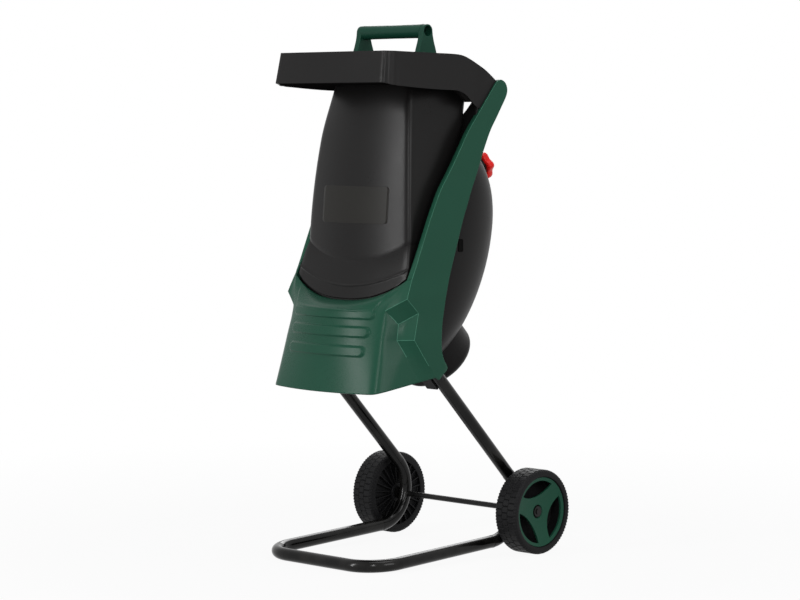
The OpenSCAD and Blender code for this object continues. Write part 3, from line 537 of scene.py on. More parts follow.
# %% Rim band
RIM_FRONT = 20
RIM_SIDE = 40
RIM_X, RIM_Y = 123.8, -176.8
RIM_TOP, RIM_LOW = 882.0, 829.0
FLARE = 4.4
TOP_EDGE = [(-172, 882), (-120, 880.9), (-70, 879.9), (-30, 879.3), (-8, 878.4), (6, 876.6), (20, 872.3),
            (36, 865.6), (50, 858.8), (63, 852), (74, 845), (85, 837.6), (97, 829)]
LOW_EDGE = [(-172, 825.2), (-120, 821.4), (-70, 818.6), (-30, 817.2), (-10, 816.6), (4, 813.4), (18, 806.4),
            (33, 793.6), (45, 786.4), (56, 784.4), (66, 786.5), (77, 794), (88, 806)]
FOLD_STEPS = 24
FOLD_KEYS = [(125.2, -176.4), (127.2, -174.4), (128.2, -170.8), (129.3, -167.2), (131.3, -164.9),
             (133.1, -162.6), (134, -159.7), (134.3, -156.4)]
BAND_ROWS = (0.0, 0.02, 0.06, 0.14, 0.3, 0.5, 0.7, 0.86, 0.94, 0.98, 1.0)


def height_at(edge, y):
    """Height of an edge of the rim at one place from front to back, found by halving."""
    low, high = 0.0, 1.0
    for _ in range(30):
        mid = (low + high) / 2
        if curve_at(edge, mid)[0] < y:
            low = mid
        else:
            high = mid
    return curve_at(edge, low)[1]


def band_half(low):
    """Right half of the band, from the middle of the front to the end of the cheek."""
    out = FLARE if low else 0.0
    side_z = height_at(LOW_EDGE, -166)
    half = []
    for n in range(RIM_FRONT + 1):
        s = n / RIM_FRONT
        half.append((s * (RIM_X + out), RIM_Y - 2.1 * out - 2.4 * (1 - s * s), RIM_LOW if low else RIM_TOP))
    for n in range(FOLD_STEPS + 1):
        x, y = curve_at(FOLD_KEYS, n / FOLD_STEPS)
        z = lerp(RIM_LOW, side_z, smooth(n / 20)) if low else height_at(TOP_EDGE, y)
        half.append((x + out * 0.9, y - out * 2.1 * (1 - n / 38.4), z))
    for t in range(1, RIM_SIDE + 1):
        w = t / RIM_SIDE
        y = lerp(-157.5, 88 if low else 97, w)
        x = 134.2 + 3.6 * smooth(w * 1.25) + 1.3 * smooth((y - 34) / 30) + out * 0.7 * max(0, 1 - w * 1.6)
        half.append((x, y - (out * 0.6 if t < 3 else 0), height_at(LOW_EDGE if low else TOP_EDGE, y)))
    return half


top_half, low_half = band_half(False), band_half(True)
band_top = both(top_half)[:0:-1] + top_half
band_low = both(low_half)[:0:-1] + low_half
band_rows = [[between(low, top, t) for low, top in zip(band_low, band_top)] for t in BAND_ROWS]
band = add_rows("feed_rim_band", band_rows, False, False, *HOPPER,
                ["feed_rim", "rim_cheeks"], sharp=60)
thicken(band, WALL, 1.0)
print("band", len(band_top), "points round")

# %% [markdown]
# Inside the band lies the tray. Its floor slopes from the band to the mouth of the column, and a low
# wall closes the back. Rays from the middle of the tray find the points of each ring, so that all rings
# have the same number and join without gaps.

# %% Feed tray
TRAY = 96
TRAY_MID = (0, -30)
TRAY_FLOOR = 828.5


def ray_hit(outline, middle, want):
    """Where a ray from the middle leaves a closed outline."""
    for a, b in zip(outline, outline[1:] + outline[:1]):
        da = (a[0] - middle[0]) * want[1] - (a[1] - middle[1]) * want[0]
        db = (b[0] - middle[0]) * want[1] - (b[1] - middle[1]) * want[0]
        if da != db and da * db <= 0:
            hit = between(a, b, da / (da - db))
            if (hit[0] - middle[0]) * want[0] + (hit[1] - middle[1]) * want[1] > 0:
                return hit


def around(outline):
    turns = [2 * math.pi * n / TRAY for n in range(TRAY)]
    return [ray_hit(outline, TRAY_MID, (math.sin(w), -math.cos(w))) for w in turns]


def tray_plan(half):
    """Outline of the tray inside the band, from the band's low or top edge."""
    plan = [(x * 0.976, y + 3.2) for x, y, z in half if y < 16]
    plan += [(133.6, 28), (133, 44), (130.6, 55), (125, 62.4), (116, 66), (60, 66)]
    return plan + [(-x, y) for x, y in reversed(plan[1:])]


def tray_edge(y):
    return lerp(height_at(LOW_EDGE, min(y, -12)) + 5, 800, smooth((y + 12) / 32))


mouth = around(column_ring(827.5, -0.6))
foot = around(tray_plan(low_half))
foot_z = [tray_edge(y) for x, y in foot]
brim = [(x, y, height_at(TOP_EDGE, min(y, 44)) - 5) for x, y in around(tray_plan(top_half))]
tray_rows = []
for t in (0.0, 0.05, 0.3, 0.6, 0.9, 0.97, 1.0):
    tray_rows.append([(*between(m, f, t), lerp(TRAY_FLOOR, z, smooth(t)))
                      for m, f, z in zip(mouth, foot, foot_z)])
floor_edge = tray_rows[-1]
for t in (0.06, 0.3, 0.7, 1.0):
    tray_rows.append([between(low, high, t) for low, high in zip(floor_edge, brim)])
tray = add_rows("feed_tray", tray_rows, True, True, "tray_moulding", "hopper_unit", "hopper_black",
                ["feed_rim"], sharp=55)
thicken(tray, 2.4)
print("tray", TRAY, "points round")

# %% [markdown]
# The front cover is one big green moulding: a bowed chute with softly rounded corners, three long pads,
# a shoulder that rolls back to the seam, stepped facets at the sides, and two arms with folded edges.
# All of it is laid out as rows of points that share their edges, and the doubles are merged at the end,
# so that one wall and one set of rounded folds runs through the whole piece. The chute's keys are its
# half width, the place of its corner, its bow, and the heights at its middle and its corner.

# %% Front cover rows
CHUTE = [(125.5, -197, 19.5, 303, 304), (121, -185.4, 22, 347, 347), (116.8, -173.4, 25.6, 392.5, 393),
         (114, -166, 26.5, 420, 420.3), (112, -160.4, 27, 441, 443.6)]
STEP_IN = [(150.4, -112.6, 321.5), (139, -130.2, 357), (125, -145, 393), (125, -141.2, 420.3),
           (112.4, -160, 443.8)]
STEP_OUT = [(151.2, -76.6, 326), (151.2, -103.6, 360), (150.3, -128.4, 393.5), (146, -113.7, 438.5),
            (146, -141.6, 463.9)]
STEP_ROWS = [14, 34, 20, 18]
PADS = [(437, 97), (406.5, 93), (374, 90)]
PAD_R = 8.6
PAD_UP = 3.4
PAD_REACH = 108
FRONT_COLS = 144
SIDE_COLS = 30
STEP_COLS = 3
ROUND = 44
cover_points, cover_faces = [], []


def with_pads(line):
    """Pushes the points that lie on a pad forward."""
    raised = []
    for x, y, z in line:
        lift = 0.0
        for pad_z, half in PADS if abs(x) < PAD_REACH else ():
            d = math.hypot(max(abs(x) - (half - PAD_R), 0), z - pad_z) - PAD_R
            lift = max(lift, PAD_UP * (1 - smooth((d + 1.6) / 2.4)))
        raised.append((x, y - lift, z))
    return raised


def chute_row(k, t):
    """One row of the chute, from the left outer step to the right one."""
    xf, yf, bow, zc, zs = curve_at(CHUTE, (k + t) / (len(CHUTE) - 1))
    inner, outer = between(STEP_IN[k], STEP_IN[k + 1], t), between(STEP_OUT[k], STEP_OUT[k + 1], t)
    spots = [2 * j / FRONT_COLS - 1 for j in range(FRONT_COLS + 1)]
    front = [(xf * s, yf - bow * (1 - s * s), lerp(zc, zs, s * s)) for s in spots]
    side = [between((xf, yf, zs), inner, j / SIDE_COLS) for j in range(1, SIDE_COLS + 1)]
    step = [between(inner, outer, j / STEP_COLS) for j in range(1, STEP_COLS + 1)]
    return both(step)[::-1] + with_pads(soften(both(side)[::-1] + front + side, ROUND)) + step


def add_grid(rows, flip=False):
    start = len(cover_points)
    for line in rows:
        cover_points.extend(line)
    cover_faces.extend(grid_faces(len(rows), len(rows[0]), False, flip, start))


chute_rows = []
for k, n in enumerate(STEP_ROWS):
    chute_rows += [chute_row(k, m / n) for m in range(n + (k == len(STEP_ROWS) - 1))]
add_grid(chute_rows)
print("chute", len(chute_rows), "rows of", len(chute_rows[0]))

# %% [markdown]
# The shoulder bends from the top of the chute to the seam with the apron. Each column is a short curve
# whose middle point is pulled out in the centre and lies straight at the arms.

# %% Shoulder of the front cover
SHOULDER_ROWS = 14
SEAM_X, SEAM_Y = 135.6, -151.0
ARM_START = (142.2, -125.6, 497)


def seam_point(x):
    s = min(1.0, x / SEAM_X)
    return (x, SEAM_Y + 19.5 * s * s, 456.5 + 38.5 * s ** 2.5)


edge_line = chute_rows[-1]
middle = (len(edge_line) - 1) / 2
shoulder = []
for r in range(SHOULDER_ROWS + 1):
    v = r / SHOULDER_ROWS
    line = []
    for j, low in enumerate(edge_line):
        out = max(0, abs(j - middle) - middle + STEP_COLS) / STEP_COLS
        reach = min(1.0, abs(low[0]) / STEP_IN[-1][0])
        x, y, z = between(seam_point(SEAM_X), ARM_START, out) if out > 0 else seam_point(SEAM_X * reach)
        high = (math.copysign(x, low[0]), y, z)
        bend = lerp(0.22, 0.5, max(reach * reach, out))
        mid = (lerp(low[0], high[0], 0.5), lerp(low[1], high[1], bend), lerp(low[2], high[2], 1 - bend * 0.9))
        line.append(between(between(low, mid, v), between(mid, high, v), v))
    shoulder.append(with_pads(line) if r else line)
add_grid(shoulder)
print("shoulder", len(shoulder), "rows")

# %% [markdown]
# Each arm is a flat flank between its front fold and its rear fold. The rows start at the foot, take
# over the edge points of the steps and the shoulder, and end in the round tip at the rim. Narrow strips
# turn inwards at both folds, so that the arm looks as thick as the real one.

# %% Arms
ARM_FRONT = [(-125.6, 497), (-115.6, 518), (-101.5, 550), (-84.6, 588), (-70, 618), (-54.4, 646.6),
             (-37.6, 669.6), (-21.6, 692), (-5.3, 716), (12.7, 743), (29.4, 763.5), (46.4, 783.5),
             (66.4, 807), (80.4, 823.5), (89, 832.5), (97, 836)]
REAR_FOOT = [(-67.6, 321.5), (-57, 330.5), (-46.9, 341), (-55.9, 356.5), (-60.6, 372), (-60.8, 392),
             (-54, 422), (-44.6, 466)]
REAR_NECK = [(-44.6, 466), (-38.2, 484), (-31.6, 500)]
REAR_ARM = [(-31.6, 500), (-22, 527), (-10, 561), (2.1, 594.7), (12, 618), (21.2, 640), (32, 663),
            (42.4, 685.4), (56.4, 717), (72.4, 748), (89.4, 772), (101, 789), (108, 799), (114.4, 810),
            (116, 820), (111.6, 830), (103, 835.5)]
ARM_STATIONS = 72
FLANK = (0.18, 0.36, 0.54, 0.72, 0.88)
STRIP_X = 132.4
REAR_STRIP_FROM = 350


def flank_x(z):
    return 142.4 + 3.6 * smooth((508 - z) / 46) + 5.2 * smooth((430 - z) / 50)


def arm_stations():
    """Front and rear points of the right flank, from the foot to the tip."""
    front = [line[-1] for line in chute_rows] + [line[-1] for line in shoulder[1:]]
    n_foot, n_neck = len(chute_rows), len(shoulder) - 1
    rear = [curve_at(REAR_FOOT, m / (n_foot - 1)) for m in range(n_foot)]
    rear += [curve_at(REAR_NECK, m / n_neck) for m in range(1, n_neck + 1)]
    for m in range(1, ARM_STATIONS + 1):
        y, z = curve_at(ARM_FRONT, m / ARM_STATIONS)
        front.append((flank_x(z), y, z))
        rear.append(curve_at(REAR_ARM, m / ARM_STATIONS))
    return front, [(flank_x(z), y, z) for y, z in rear]


front_edge, rear_edge = arm_stations()
flank_rows, front_strip, rear_strip = [], [], []
first = len(chute_rows) + len(shoulder) - 2
for m, (f, r) in enumerate(zip(front_edge, rear_edge)):
    inner = [between(f, r, t) for t in FLANK]
    if m > 2:
        inner = [(flank_x(z), y, z) for x, y, z in inner]
    flank_rows.append([f] + inner + [r])
    if m >= first:
        w = smooth((m - first) / 14)
        inside = (STRIP_X + 3.2 * (1 - w), f[1] + lerp(-5.9, 1, w), f[2] - 2 * (1 - w))
        front_strip.append([inside, between(inside, f, 0.5), f])
    if r[2] > REAR_STRIP_FROM:
        rear_strip.append([between(r, (STRIP_X, r[1] - 1.6, r[2]), t) for t in (0, 0.5, 1)])
for rows in (flank_rows, front_strip, rear_strip):
    add_grid(rows)
    add_grid([both(line) for line in rows], flip=True)
print("arms", len(flank_rows), "stations")

# %% [markdown]
# Now the moulding is put together: doubles are merged, the folds are marked for a rounded edge, and a
# wall is added on the inside. Folds on the pads are left out, because the pads are round already. The
# rounded folds take a paler green: a painted highlight along each fold.

# %% Front cover in one piece
def mark_folds(piece, least, skip=None, near=0.05):
    """Merges doubled points and gives every fold sharper than least degrees a bevel weight."""
    work = bmesh.new()
    work.from_mesh(piece.data)
    bmesh.ops.remove_doubles(work, verts=work.verts, dist=near * MM)
    bmesh.ops.dissolve_degenerate(work, dist=0.02 * MM, edges=work.edges)
    bmesh.ops.recalc_face_normals(work, faces=work.faces)
    weight = work.edges.layers.float.new("bevel_weight_edge")
    folds = 0
    for edge in work.edges:
        if len(edge.link_faces) == 2 and edge.calc_face_angle(0) > math.radians(least):
            if skip is None or not skip((edge.verts[0].co + edge.verts[1].co) / 2 / MM):
                edge[weight] = 1.0
                folds += 1
    work.to_mesh(piece.data)
    work.free()
    return folds


def fold_bevel(piece, width, wall=0, highlight_finish=None):
    bevel = piece.modifiers.new("folds", "BEVEL")
    # The bevel's faces take the paler finish, a painted highlight along the folds.
    if highlight_finish:
        piece.data.materials.append(finishes[highlight_finish])
        bevel.material = 1
    bevel.limit_method = "WEIGHT"
    bevel.width = width * MM
    bevel.segments = 3
    thicken(piece, wall)
    piece.modifiers.new("shading", "WEIGHTED_NORMAL").keep_sharp = True


def unfolded(p):
    """The pads, the end of the chute's corner at the facets, and the shoulder next to the seam."""
    seam = abs(p.x) < 138 and 466 < p.z < 500 and p.y < -124
    return seam or abs(p.x) < 111 and p.z < 470 or abs(p.x) < 117 and 436 < p.z < 452


cover = add_piece("front_cover_moulding", cover_points, cover_faces, "green_moulding", "hopper_unit",
                  "green_plastic", ["front_cover"], sharp=180)
folds = mark_folds(cover, 16, unfolded, near=0.9)
fold_bevel(cover, 1.3, 2.8, "green_painted_highlight")
print("cover", len(cover.data.vertices), "points,", folds, "fold edges")

# %% [markdown]
# The dome behind is a row of arches along the parting plane, a little squarer than half circles. Nearly
# the same formulas as in the solids are stepped finely here, so that the curve shows no facets.

# %% Rear dome
DOME_MID, DOME_UP, DOME_DOWN = 130, 186, 258
DOME_X, DOME_DEEP = 118, 182
DOME_OFF = 0.6


def from_parting(x, n, u):
    """A point given by how far it is from the parting plane and how far up along it."""
    return (x, PART_Y + n * math.cos(LEAN) + u * math.sin(LEAN),
            PART_Z - n * math.sin(LEAN) + u * math.cos(LEAN))


def bulge(t):
    return math.sqrt(max(0, 1 - t ** 2.4)) if t > 0 else max(0, 1 - (-t) ** 1.8) ** 0.6


def squared(c):
    return math.copysign(abs(c) ** 0.8, c)


dome_rows = []
for k in range(-87, 88, 3):
    t = math.sin(math.radians(k))
    u = DOME_MID + t * (DOME_UP if t > 0 else DOME_DOWN)
    half = DOME_X * (1 - abs(t) ** 4) ** 0.25
    deep = DOME_DEEP * bulge(t)
    turns = [math.radians(a) for a in range(0, 181, 4)]
    dome_rows.append([from_parting(half * squared(math.cos(w)), DOME_OFF + deep * squared(math.sin(w)), u)
                      for w in turns])
dome = add_rows("rear_dome", dome_rows, False, False, "housing_moulding", "base", "black_plastic",
                ["rear_shell"], sharp=60)
thicken(dome, 2.8)
print("dome", len(dome.data.vertices), "points")

# %% [markdown]
# A boss on the dome carries the red lock knob. Six lobes give the hand a grip. The knob is a stack of
# rings, where the lobes fade out towards the middle.

# %% Lock knob and its boss
KNOB_AT = Vector((0, 198, 680))
KNOB_RISE = math.radians(21)
KNOB_OUT = Vector((0, math.cos(KNOB_RISE), math.sin(KNOB_RISE)))
KNOB_UP = Vector((0, -math.sin(KNOB_RISE), math.cos(KNOB_RISE)))
KNOB_STEPS = 72
LOBES = 6
KNOB = [(0.5, 0.5), (0.5, 18), (0.9, 23), (2.4, 26), (4.4, 27), (12, 27), (14.6, 26.2), (16.2, 24.2),
        (16.8, 21), (16.4, 15.5), (16.6, 12), (17.6, 10.8), (19, 10.4), (19.8, 9.4), (20.2, 7), (20.3, 0.5)]
BOSS = [(-46, 35), (-34, 29.5), (-22, 25), (-10, 22), (-3, 20.8), (-0.6, 20.2), (0, 19), (0, 6)]


def turned(profile, depth=0.0):
    """Rings round the knob's axis from (height, radius) pairs, with lobes of a depth."""
    rows = []
    for h, r in profile:
        line = []
        for a in range(KNOB_STEPS):
            w = 2 * math.pi * a / KNOB_STEPS
            lobed = r * (1 - depth * 0.5 * (1 - math.cos(LOBES * w)) * smooth((r - 10) / 10))
            outward = Vector((lobed * math.cos(w), 0, 0)) + KNOB_UP * (lobed * math.sin(w))
            line.append(tuple(KNOB_AT + KNOB_OUT * h + outward))
        rows.append(line)
    return rows


add_rows("lock_knob_cap", turned(KNOB, 0.17), True, True, "knob_moulding", "lock_knob", "knob_red",
         ["lock_knob"], sharp=60)
add_rows("lock_boss", turned(BOSS), True, True, "housing_moulding", "base", "black_plastic", sharp=50)
print("knob with", LOBES, "lobes")

# %% [markdown]
# The plunger's handle is two flared plates with a hollow grip between them, on a flat flange that closes
# the mouth of the column. A plate is a ring of points from the open end of the grip out to the plate's
# edge, and the grip is turned like a bobbin.

# %% Plunger handle
HANDLE_Y, GRIP_Z, GRIP_R, GRIP_HOLE = -22, 919, 12, 9.2
PLATE_IN, PLATE_OUT = 70, 81
PLATE_SIDE = [(30, 838.6), (27.4, 852), (24.6, 868), (21.6, 884), (17.4, 895), (14.6, 904), (12.8, 912)]
PLATE_STEPS = 96
PLATE_RINGS = [(PLATE_OUT, 0), (PLATE_OUT, 0.35), (PLATE_OUT, 0.7), (PLATE_OUT, 1), (PLATE_IN, 1),
               (PLATE_IN, 0.7), (PLATE_IN, 0.35), (PLATE_IN, 0), (PLATE_OUT, 0)]
GRIP = [(-71, 12.4), (-66, 12.1), (-50, 11.9), (0, 11.7), (50, 11.9), (66, 12.1), (71, 12.4),
        (71, GRIP_HOLE), (-71, GRIP_HOLE), (-71, 12.4)]
FLANGE_X, FLANGE_Y, FLANGE_R = 106, 32, 9
FLANGE_LOW, FLANGE_TOP = 834.6, 839.4
HANDLE = ("handle_moulding", "plunger", "green_plastic", ["plunger_handle"])


def lathe(name, centre, profile, finish, body, slot, replaces, side=1, steps=32, sharp=40):
    """Rings round an axis along X, from (x, radius) pairs."""
    turns = [2 * math.pi * k / steps for k in range(steps)]
    rows = [[(side * x, centre[0] + r * math.cos(w), centre[1] + r * math.sin(w)) for w in turns]
            for x, r in profile]
    add_rows(name, rows, True, side < 0, finish, body, slot, replaces, sharp)


def rounded_box(wide, tall, r, count):
    """Outline with round corners of radius r, from half the distances of the corners' middles."""
    outline = []
    for k, (cx, cy) in enumerate(((1, -1), (1, 1), (-1, 1), (-1, -1))):
        for a in range(count):
            w = math.radians(90 * (k - 1 + a / (count - 1)))
            outline.append((cx * wide + r * math.cos(w), cy * tall + r * math.sin(w)))
    return outline


def grip_circle(r, w):
    return (r * math.cos(w), GRIP_Z + r * math.sin(w))


plate_plan = PLATE_SIDE + [grip_circle(GRIP_R, a * math.pi / 24) for a in range(13)]
plate_plan += [(-y, z) for y, z in reversed(plate_plan[:-1])]
spokes = []
for w in [2 * math.pi * n / PLATE_STEPS for n in range(PLATE_STEPS)]:
    spokes.append((grip_circle(GRIP_HOLE, w), ray_hit(plate_plan, (0, GRIP_Z), (math.cos(w), math.sin(w)))))
for side, name in SIDES:
    rows = []
    for x, t in PLATE_RINGS:
        line = [between(hole, rim, t) for hole, rim in spokes]
        rows.append([(side * x, HANDLE_Y + y, z) for y, z in line])
    plate = add_rows("handle_plate_" + name, rows, True, side < 0, *HANDLE, sharp=180)
    mark_folds(plate, 40)
    fold_bevel(plate, 1.5)
lathe("handle_grip", (HANDLE_Y, GRIP_Z), GRIP, *HANDLE, steps=48, sharp=50)

flange_plan = rounded_box(FLANGE_X - FLANGE_R, FLANGE_Y - FLANGE_R, FLANGE_R, 7)
n = len(flange_plan)
points = [(x, HANDLE_Y + y, z) for z in (FLANGE_LOW, FLANGE_TOP) for x, y in flange_plan]
faces = grid_faces(2, n, True, False) + [tuple(range(n))[::-1], tuple(range(n, 2 * n))]
flange = add_piece("handle_flange", points, faces, *HANDLE, sharp=180)
mark_folds(flange, 40)
fold_bevel(flange, 1.4)
print("handle from", -PLATE_OUT, "to", PLATE_OUT)

# %% [markdown]
# Behind the column a thin black flange lies on the parting plane and closes most of the space to the
# arms. Its top edge slopes, and the gap above it lets the background through, as on the real machine.
# A small slot with a raised lip sits in each side of the dome. Its floor is near black, painted shade in
# place of the slot's depth.

# %% Rear flange and slot
FLANGE_EDGE = [(100, 334), (106, 338), (112, 345), (119, 355), (126, 366), (133, 379), (138, 388)]
FLANGE_ROWS = 12
SLOT_X, SLOT_Y, SLOT_Z = 117.9, 22.5, 548
SLOT_HALF, SLOT_TALL, SLOT_R = 6.2, 11.5, 3.0
SLOT_RINGS = [(0, -0.6), (0.4, 0.5), (1.4, 0.7), (1.9, 0.3), (2.1, 0.05), (4.4, 0.05)]
for side, name in SIDES:
    rows = [[from_parting(side * x, -3.2, lerp(50, top, v / FLANGE_ROWS)) for x, top in FLANGE_EDGE]
            for v in range(FLANGE_ROWS + 1)]
    plate = add_rows("rear_flange_" + name, rows, False, side < 0, *HOPPER, sharp=60)
    thicken(plate, WALL, 0.7)

for side, name in SIDES:
    points = []
    for inset, lift in SLOT_RINGS:
        outline = rounded_box(SLOT_HALF - SLOT_R, SLOT_TALL - max(SLOT_R, inset), max(0.3, SLOT_R - inset), 5)
        points += [(side * (SLOT_X + lift), SLOT_Y + y, SLOT_Z + z) for y, z in outline]
    n = len(outline)
    bottom = list(range(len(points) - n, len(points)))[::side]
    faces = grid_faces(len(SLOT_RINGS), n, True, side < 0) + [bottom]
    # The slot's floor lies almost flush and is near black: painted shade, not a deep recess.
    add_piece("dome_slot_" + name, points, faces, "slot_painted_shade", "base", "black_plastic")
print("flanges and slots made")

# %% [markdown]
# A wheel is one hollow moulding with the tyre's pattern cut into it. Three columns of blocks stand in
# brick order, small notches run along both shoulders, and thin ribs stiffen the open inner side. The
# pattern is a radius that depends on the angle, so every ring has the same number of points.

# %% Wheels
AXLE_Y, AXLE_Z = 147.5, 75
WHEEL_IN, WHEEL_WIDE, WHEEL_R = 153, 47, 75
ROUND_STEPS = 320
BLOCKS = 40
RIBS = 24
GROOVES = (17.4, 29.6)
INNER = [(0.3, 5.3), (0.3, 16.2), (1, 17), (7.4, 17.4), (8, 18.2), (8, 59), (7.2, 59.8), (1, 60),
         (0.2, 60.6), (0, 62)]
SHOULDER = [(0.0, 70.4), (0.5, 72.2), (1.7, 73.8), (3.4, 74.7)]
TREAD = [4.4, 5.0, 10.5, 16.0, 16.6, 17.4, 18.2, 18.8, 23.5, 28.2, 28.8, 29.6, 30.4, 31.0, 36.5, 42.0, 42.6]
OUTER = [(46.9, 67.6), (47, 64.6), (46.4, 63), (45, 62.4), (14, 62.2), (13.2, 61), (13, 18.2), (14, 17.2),
         (31, 17), (31, 5.3)]


def tread_radius(x, turn):
    """Radius of the tread at a place across the tyre, turn counted in blocks."""
    if min(abs(x - groove) for groove in GROOVES) < 0.1:
        return WHEEL_R - 1.1
    column = sum(x >= groove for groove in GROOVES)
    part = (turn + column * 0.5) % 1.0
    return WHEEL_R - 1.4 * (1 - smooth(abs(part - 0.09) / 0.05 - 0.8))


def wheel_rows(side):
    bands = [("plain", INNER), ("notch", SHOULDER), ("tread", [(x, WHEEL_R) for x in TREAD]),
             ("notch", [(WHEEL_WIDE - x, r) for x, r in reversed(SHOULDER)]), ("plain", OUTER)]
    rows = []
    for kind, x, r in [(kind, x, r) for kind, places in bands for x, r in places]:
        line = []
        for a in range(ROUND_STEPS):
            w, turn = 2 * math.pi * a / ROUND_STEPS, BLOCKS * a / ROUND_STEPS
            radius = tread_radius(x, turn) if kind == "tread" else r
            if kind == "notch" and r > 72 and (turn * 2) % 1.0 < 0.3:
                radius = r - 1.1
            line.append((side * (WHEEL_IN + x), AXLE_Y + radius * math.sin(w), AXLE_Z - radius * math.cos(w)))
        rows.append(line)
    return rows


def rib(side, angle):
    """One flat rib in the open side of a wheel."""
    c, s = math.cos(angle), math.sin(angle)
    points = []
    for r in (16.5, 60.3):
        for off in (-0.9, 0.9):
            for x in (1.2, 8.3):
                points.append((side * (WHEEL_IN + x), AXLE_Y + r * s + off * c, AXLE_Z - r * c + off * s))
    faces = [(0, 1, 3, 2), (4, 6, 7, 5), (0, 4, 5, 1), (2, 3, 7, 6), (0, 2, 6, 4), (1, 5, 7, 3)]
    return points, [f[::side] for f in faces]


for side, name in SIDES:
    rows = wheel_rows(side)
    points = [p for line in rows for p in line]
    faces = grid_faces(len(rows), ROUND_STEPS, True, side < 0)
    for k in range(RIBS):
        more, quads = rib(side, 2 * math.pi * (k + 0.5) / RIBS)
        faces += [tuple(len(points) + n for n in q) for q in quads]
        points += more
    add_piece("tyre_" + name, points, faces, "wheel_moulding", "wheel_" + name, "wheel_black",
              ["wheel_" + name], sharp=35)
print("wheels with", BLOCKS, "blocks in a column")

# %% [markdown]
# The green hub cover is a flat disc with three lens windows. A polygon with holes fills the face, a
# second one the back, and walls join them. The cover sinks towards a collar round the axle's push cap.

# %% Hub covers
HUB_R, HUB_FACE, HUB_BACK = 61.4, 43.8, 39.8
HUB_DISH = 8.4
HUB_HOLE = 12.4
WINDOW = 55.5
WINDOW_TURNS = (71.4, 191.4, 311.4)
LENS, LENS_AT = 68.4, 95.9
LONGEST = 5
COLLAR = [(31.2, 14.2), (34, 14.2), (35, 13.6), (35.4, 12.6), (34.8, 12), (31.2, 11.8)]


def arc(centre, r, turns):
    return [(centre + r * math.cos(w), r * math.sin(w)) for w in turns]


def lens_outline(turn):
    """A window between the cover's rim and a second circle further out."""
    half = math.acos((WINDOW ** 2 + LENS_AT ** 2 - LENS ** 2) / (2 * WINDOW * LENS_AT))
    reach = math.atan2(WINDOW * math.sin(half), WINDOW * math.cos(half) - LENS_AT)
    line = arc(0, WINDOW, [half * (k / 12 - 1) for k in range(25)])
    line += arc(LENS_AT, LENS, [lerp(reach, 2 * math.pi - reach, k / 24) for k in range(1, 24)])
    c, s = math.cos(turn), math.sin(turn)
    return [(x * c - y * s, x * s + y * c) for x, y in line]


def circle(r, steps):
    return arc(0, r, [2 * math.pi * k / steps for k in range(steps)])


def dish(piece, side):
    """Splits long edges, then sinks the cover towards its middle."""
    work = bmesh.new()
    work.from_mesh(piece.data)
    for _ in range(4):
        long = [e for e in work.edges if e.calc_length() > LONGEST * MM]
        bmesh.ops.subdivide_edges(work, edges=long, cuts=1, use_grid_fill=True)
        bmesh.ops.triangulate(work, faces=[f for f in work.faces if len(f.verts) > 4])
    for v in work.verts:
        off = math.hypot(v.co.y / MM - AXLE_Y, v.co.z / MM - AXLE_Z)
        v.co.x -= side * HUB_DISH * MM * (1 - (off / HUB_R) ** 2)
    work.to_mesh(piece.data)
    work.free()


loops = [circle(HUB_R, 128), circle(HUB_HOLE, 48)] + [lens_outline(math.radians(a)) for a in WINDOW_TURNS]
flat = [p for loop in loops for p in loop]
fill = tessellate_polygon([[Vector((x, y, 0)) for x, y in loop] for loop in loops])
n = len(flat)
for side, name in SIDES:
    points = [(side * (WHEEL_IN + x), AXLE_Y + b, AXLE_Z - a) for x in (HUB_FACE, HUB_BACK) for a, b in flat]
    faces = [tuple(t) for t in fill] + [tuple(k + n for k in t) for t in fill]
    start = 0
    for loop in loops:
        m = len(loop)
        faces += [(start + k, start + (k + 1) % m, start + n + (k + 1) % m, start + n + k) for k in range(m)]
        start += m
    disc = add_piece("hub_disc_" + name, points, faces, "green_moulding", "wheel_" + name, "green_plastic",
                     ["hub_cover_" + name], sharp=180)
    mark_folds(disc, 50)
    dish(disc, side)
    fold_bevel(disc, 1.0)
    lathe("hub_collar_" + name, (AXLE_Y, AXLE_Z), [(WHEEL_IN + x, r) for x, r in COLLAR], "green_moulding",
          "wheel_" + name, "green_plastic", ["hub_cover_" + name], side, steps=64, sharp=50)
print("hub covers with", len(WINDOW_TURNS), "windows")

# %% [markdown]
# Two small groups of fasteners are made anew, because the arms lie a little closer in here than in the
# solids: the pins the front unit tilts on, and the screws that hold the arms to the rim. The lathe that
# made the grip turns them too.

# %% Pins and screws of the arms
SCREW = [(133.6, 0.2), (133.7, 1.4), (134.6, 1.6), (134.8, 2.0), (133.9, 2.6), (134.2, 3.6), (135.2, 4.0),
         (136.6, 4.0), (136.8, 1.9), (141.4, 1.9), (142, 0.2)]
SCREWS_AT = ((79, 804), (92, 822))
pin_low, pin_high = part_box("hinge_pins")
pin_at = ((pin_low[1] + pin_high[1]) / 2 / MM, (pin_low[2] + pin_high[2]) / 2 / MM)
pin_r = (pin_high[2] - pin_low[2]) / 2 / MM
PIN = [(112, 0.2), (112, pin_r - 0.8), (112.8, pin_r), (142.2, pin_r), (143, pin_r - 0.8), (143, 0.2)]
for side, name in SIDES:
    lathe("tilt_pin_" + name, pin_at, PIN, "bright_steel", "base", "steel", ["hinge_pins"], side)
    for k, at in enumerate(SCREWS_AT):
        lathe("arm_screw_%s_%d" % (name, k + 1), at, SCREW, "bright_steel", "hopper_unit", "steel",
              ["cover_screws"], side)
print("pins at", [round(c, 1) for c in pin_at])

# %% [markdown]
# The plain pale floor and soft lamps follow the picture's studio. The floor shows white to the camera
# and to reflections, and keeps some of its shadow. Two narrow strips of light draw the long highlights
# on the column and the cover, and three wide boxes fill the rest.

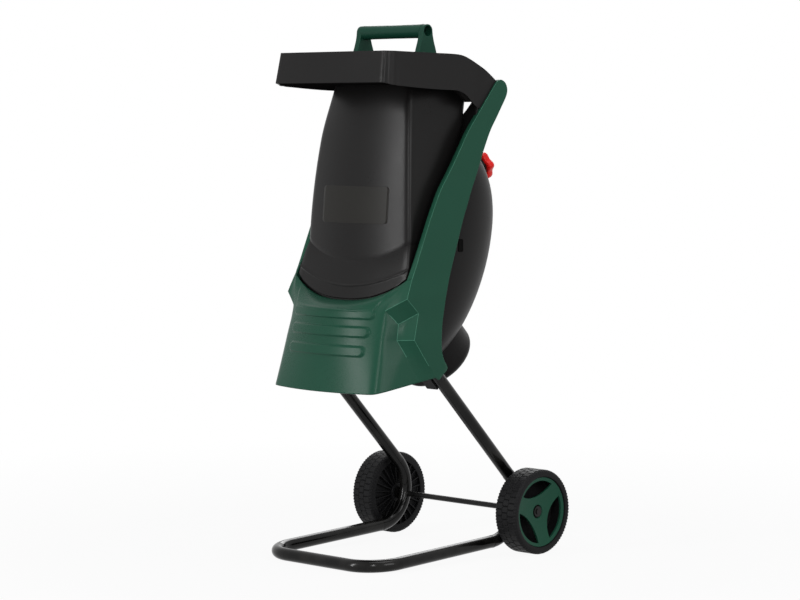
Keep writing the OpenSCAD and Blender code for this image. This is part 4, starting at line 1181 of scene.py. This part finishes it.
# %% Floor and light
FLOOR_HALF = 12
LAMPS = [("key_strip", (-0.85, -2.95, 1.15), (0, -0.1, 0.5), 0.45, 2.2, 54),
         ("fill_strip", (2.3, -2.6, 1.5), (0, 0, 0.5), 0.4, 1.8, 32),
         ("side_box", (3.0, -0.2, 1.4), (0, 0, 0.5), 1.5, 1.5, 30),
         ("back_box", (-1.5, 2.4, 2.0), (0, 0, 0.5), 1.6, 1.6, 36),
         ("top_box", (0.6, 0.2, 3.2), (0, 0, 0.5), 1.8, 1.8, 30)]


def eye_rays(f):
    """One for every ray that shows the background to the camera, straight, mirrored or through glass."""
    rays = f.node("ShaderNodeLightPath").socket.node.outputs
    kinds = [Wire(f, rays[kind]) for kind in ("Is Camera Ray", "Is Glossy Ray", "Is Transmission Ray")]
    return kinds[0] + kinds[1] + kinds[2]


def clamped_product(f, a, b):
    return f.node("ShaderNodeMath", {"operation": "MULTIPLY", "use_clamp": True}, {0: a, 1: b})


def floor_finish():
    f = Finish("studio_floor")
    far = f.node("ShaderNodeVectorMath", {"operation": "LENGTH"}, {0: f.place()}, out=1)
    ramp = clamped_product(f, far - 0.6, 1.0)
    paper = f.node("ShaderNodeBsdfDiffuse", {}, {"Color": (0.5, 0.5, 0.5, 1)})
    glow = f.node("ShaderNodeEmission", {}, {"Color": (1, 1, 1, 1), "Strength": 1.0})
    share = clamped_product(f, eye_rays(f), 0.93 + ramp * 0.07)
    return f.show(f.node("ShaderNodeMixShader", {}, {0: share, 1: paper, 2: glow}))


floor_mesh = bpy.data.meshes.new("studio_floor")
floor_corners = [(x * FLOOR_HALF, y * FLOOR_HALF, 0) for x, y in ((-1, -1), (1, -1), (1, 1), (-1, 1))]
floor_mesh.from_pydata(floor_corners, [], [(0, 1, 2, 3)])
floor_mesh.materials.append(floor_finish())
floor = bpy.data.objects.new("studio_floor", floor_mesh)
scene.collection.objects.link(floor)

scene.world = bpy.data.worlds.new("studio")
sky = Finish("studio", scene.world)
room = sky.node("ShaderNodeBackground", {}, {"Color": (0.96, 0.98, 1.0, 1), "Strength": 0.28})
white = sky.node("ShaderNodeBackground", {}, {"Color": (1, 1, 1, 1), "Strength": 1.0})
sky.show(sky.node("ShaderNodeMixShader", {}, {0: eye_rays(sky), 1: room, 2: white}))

for name, place, aim, wide, tall, power in LAMPS:
    data = bpy.data.lights.new(name, "AREA")
    data.shape = "RECTANGLE"
    data.size, data.size_y, data.energy = wide, tall, power
    lamp = bpy.data.objects.new(name, data)
    lamp.location = place
    lamp.rotation_euler = (Vector(aim) - Vector(place)).to_track_quat("-Z", "Y").to_euler()
    scene.collection.objects.link(lamp)
scene.view_settings.view_transform = "Standard"
print("lamps:", len(LAMPS))
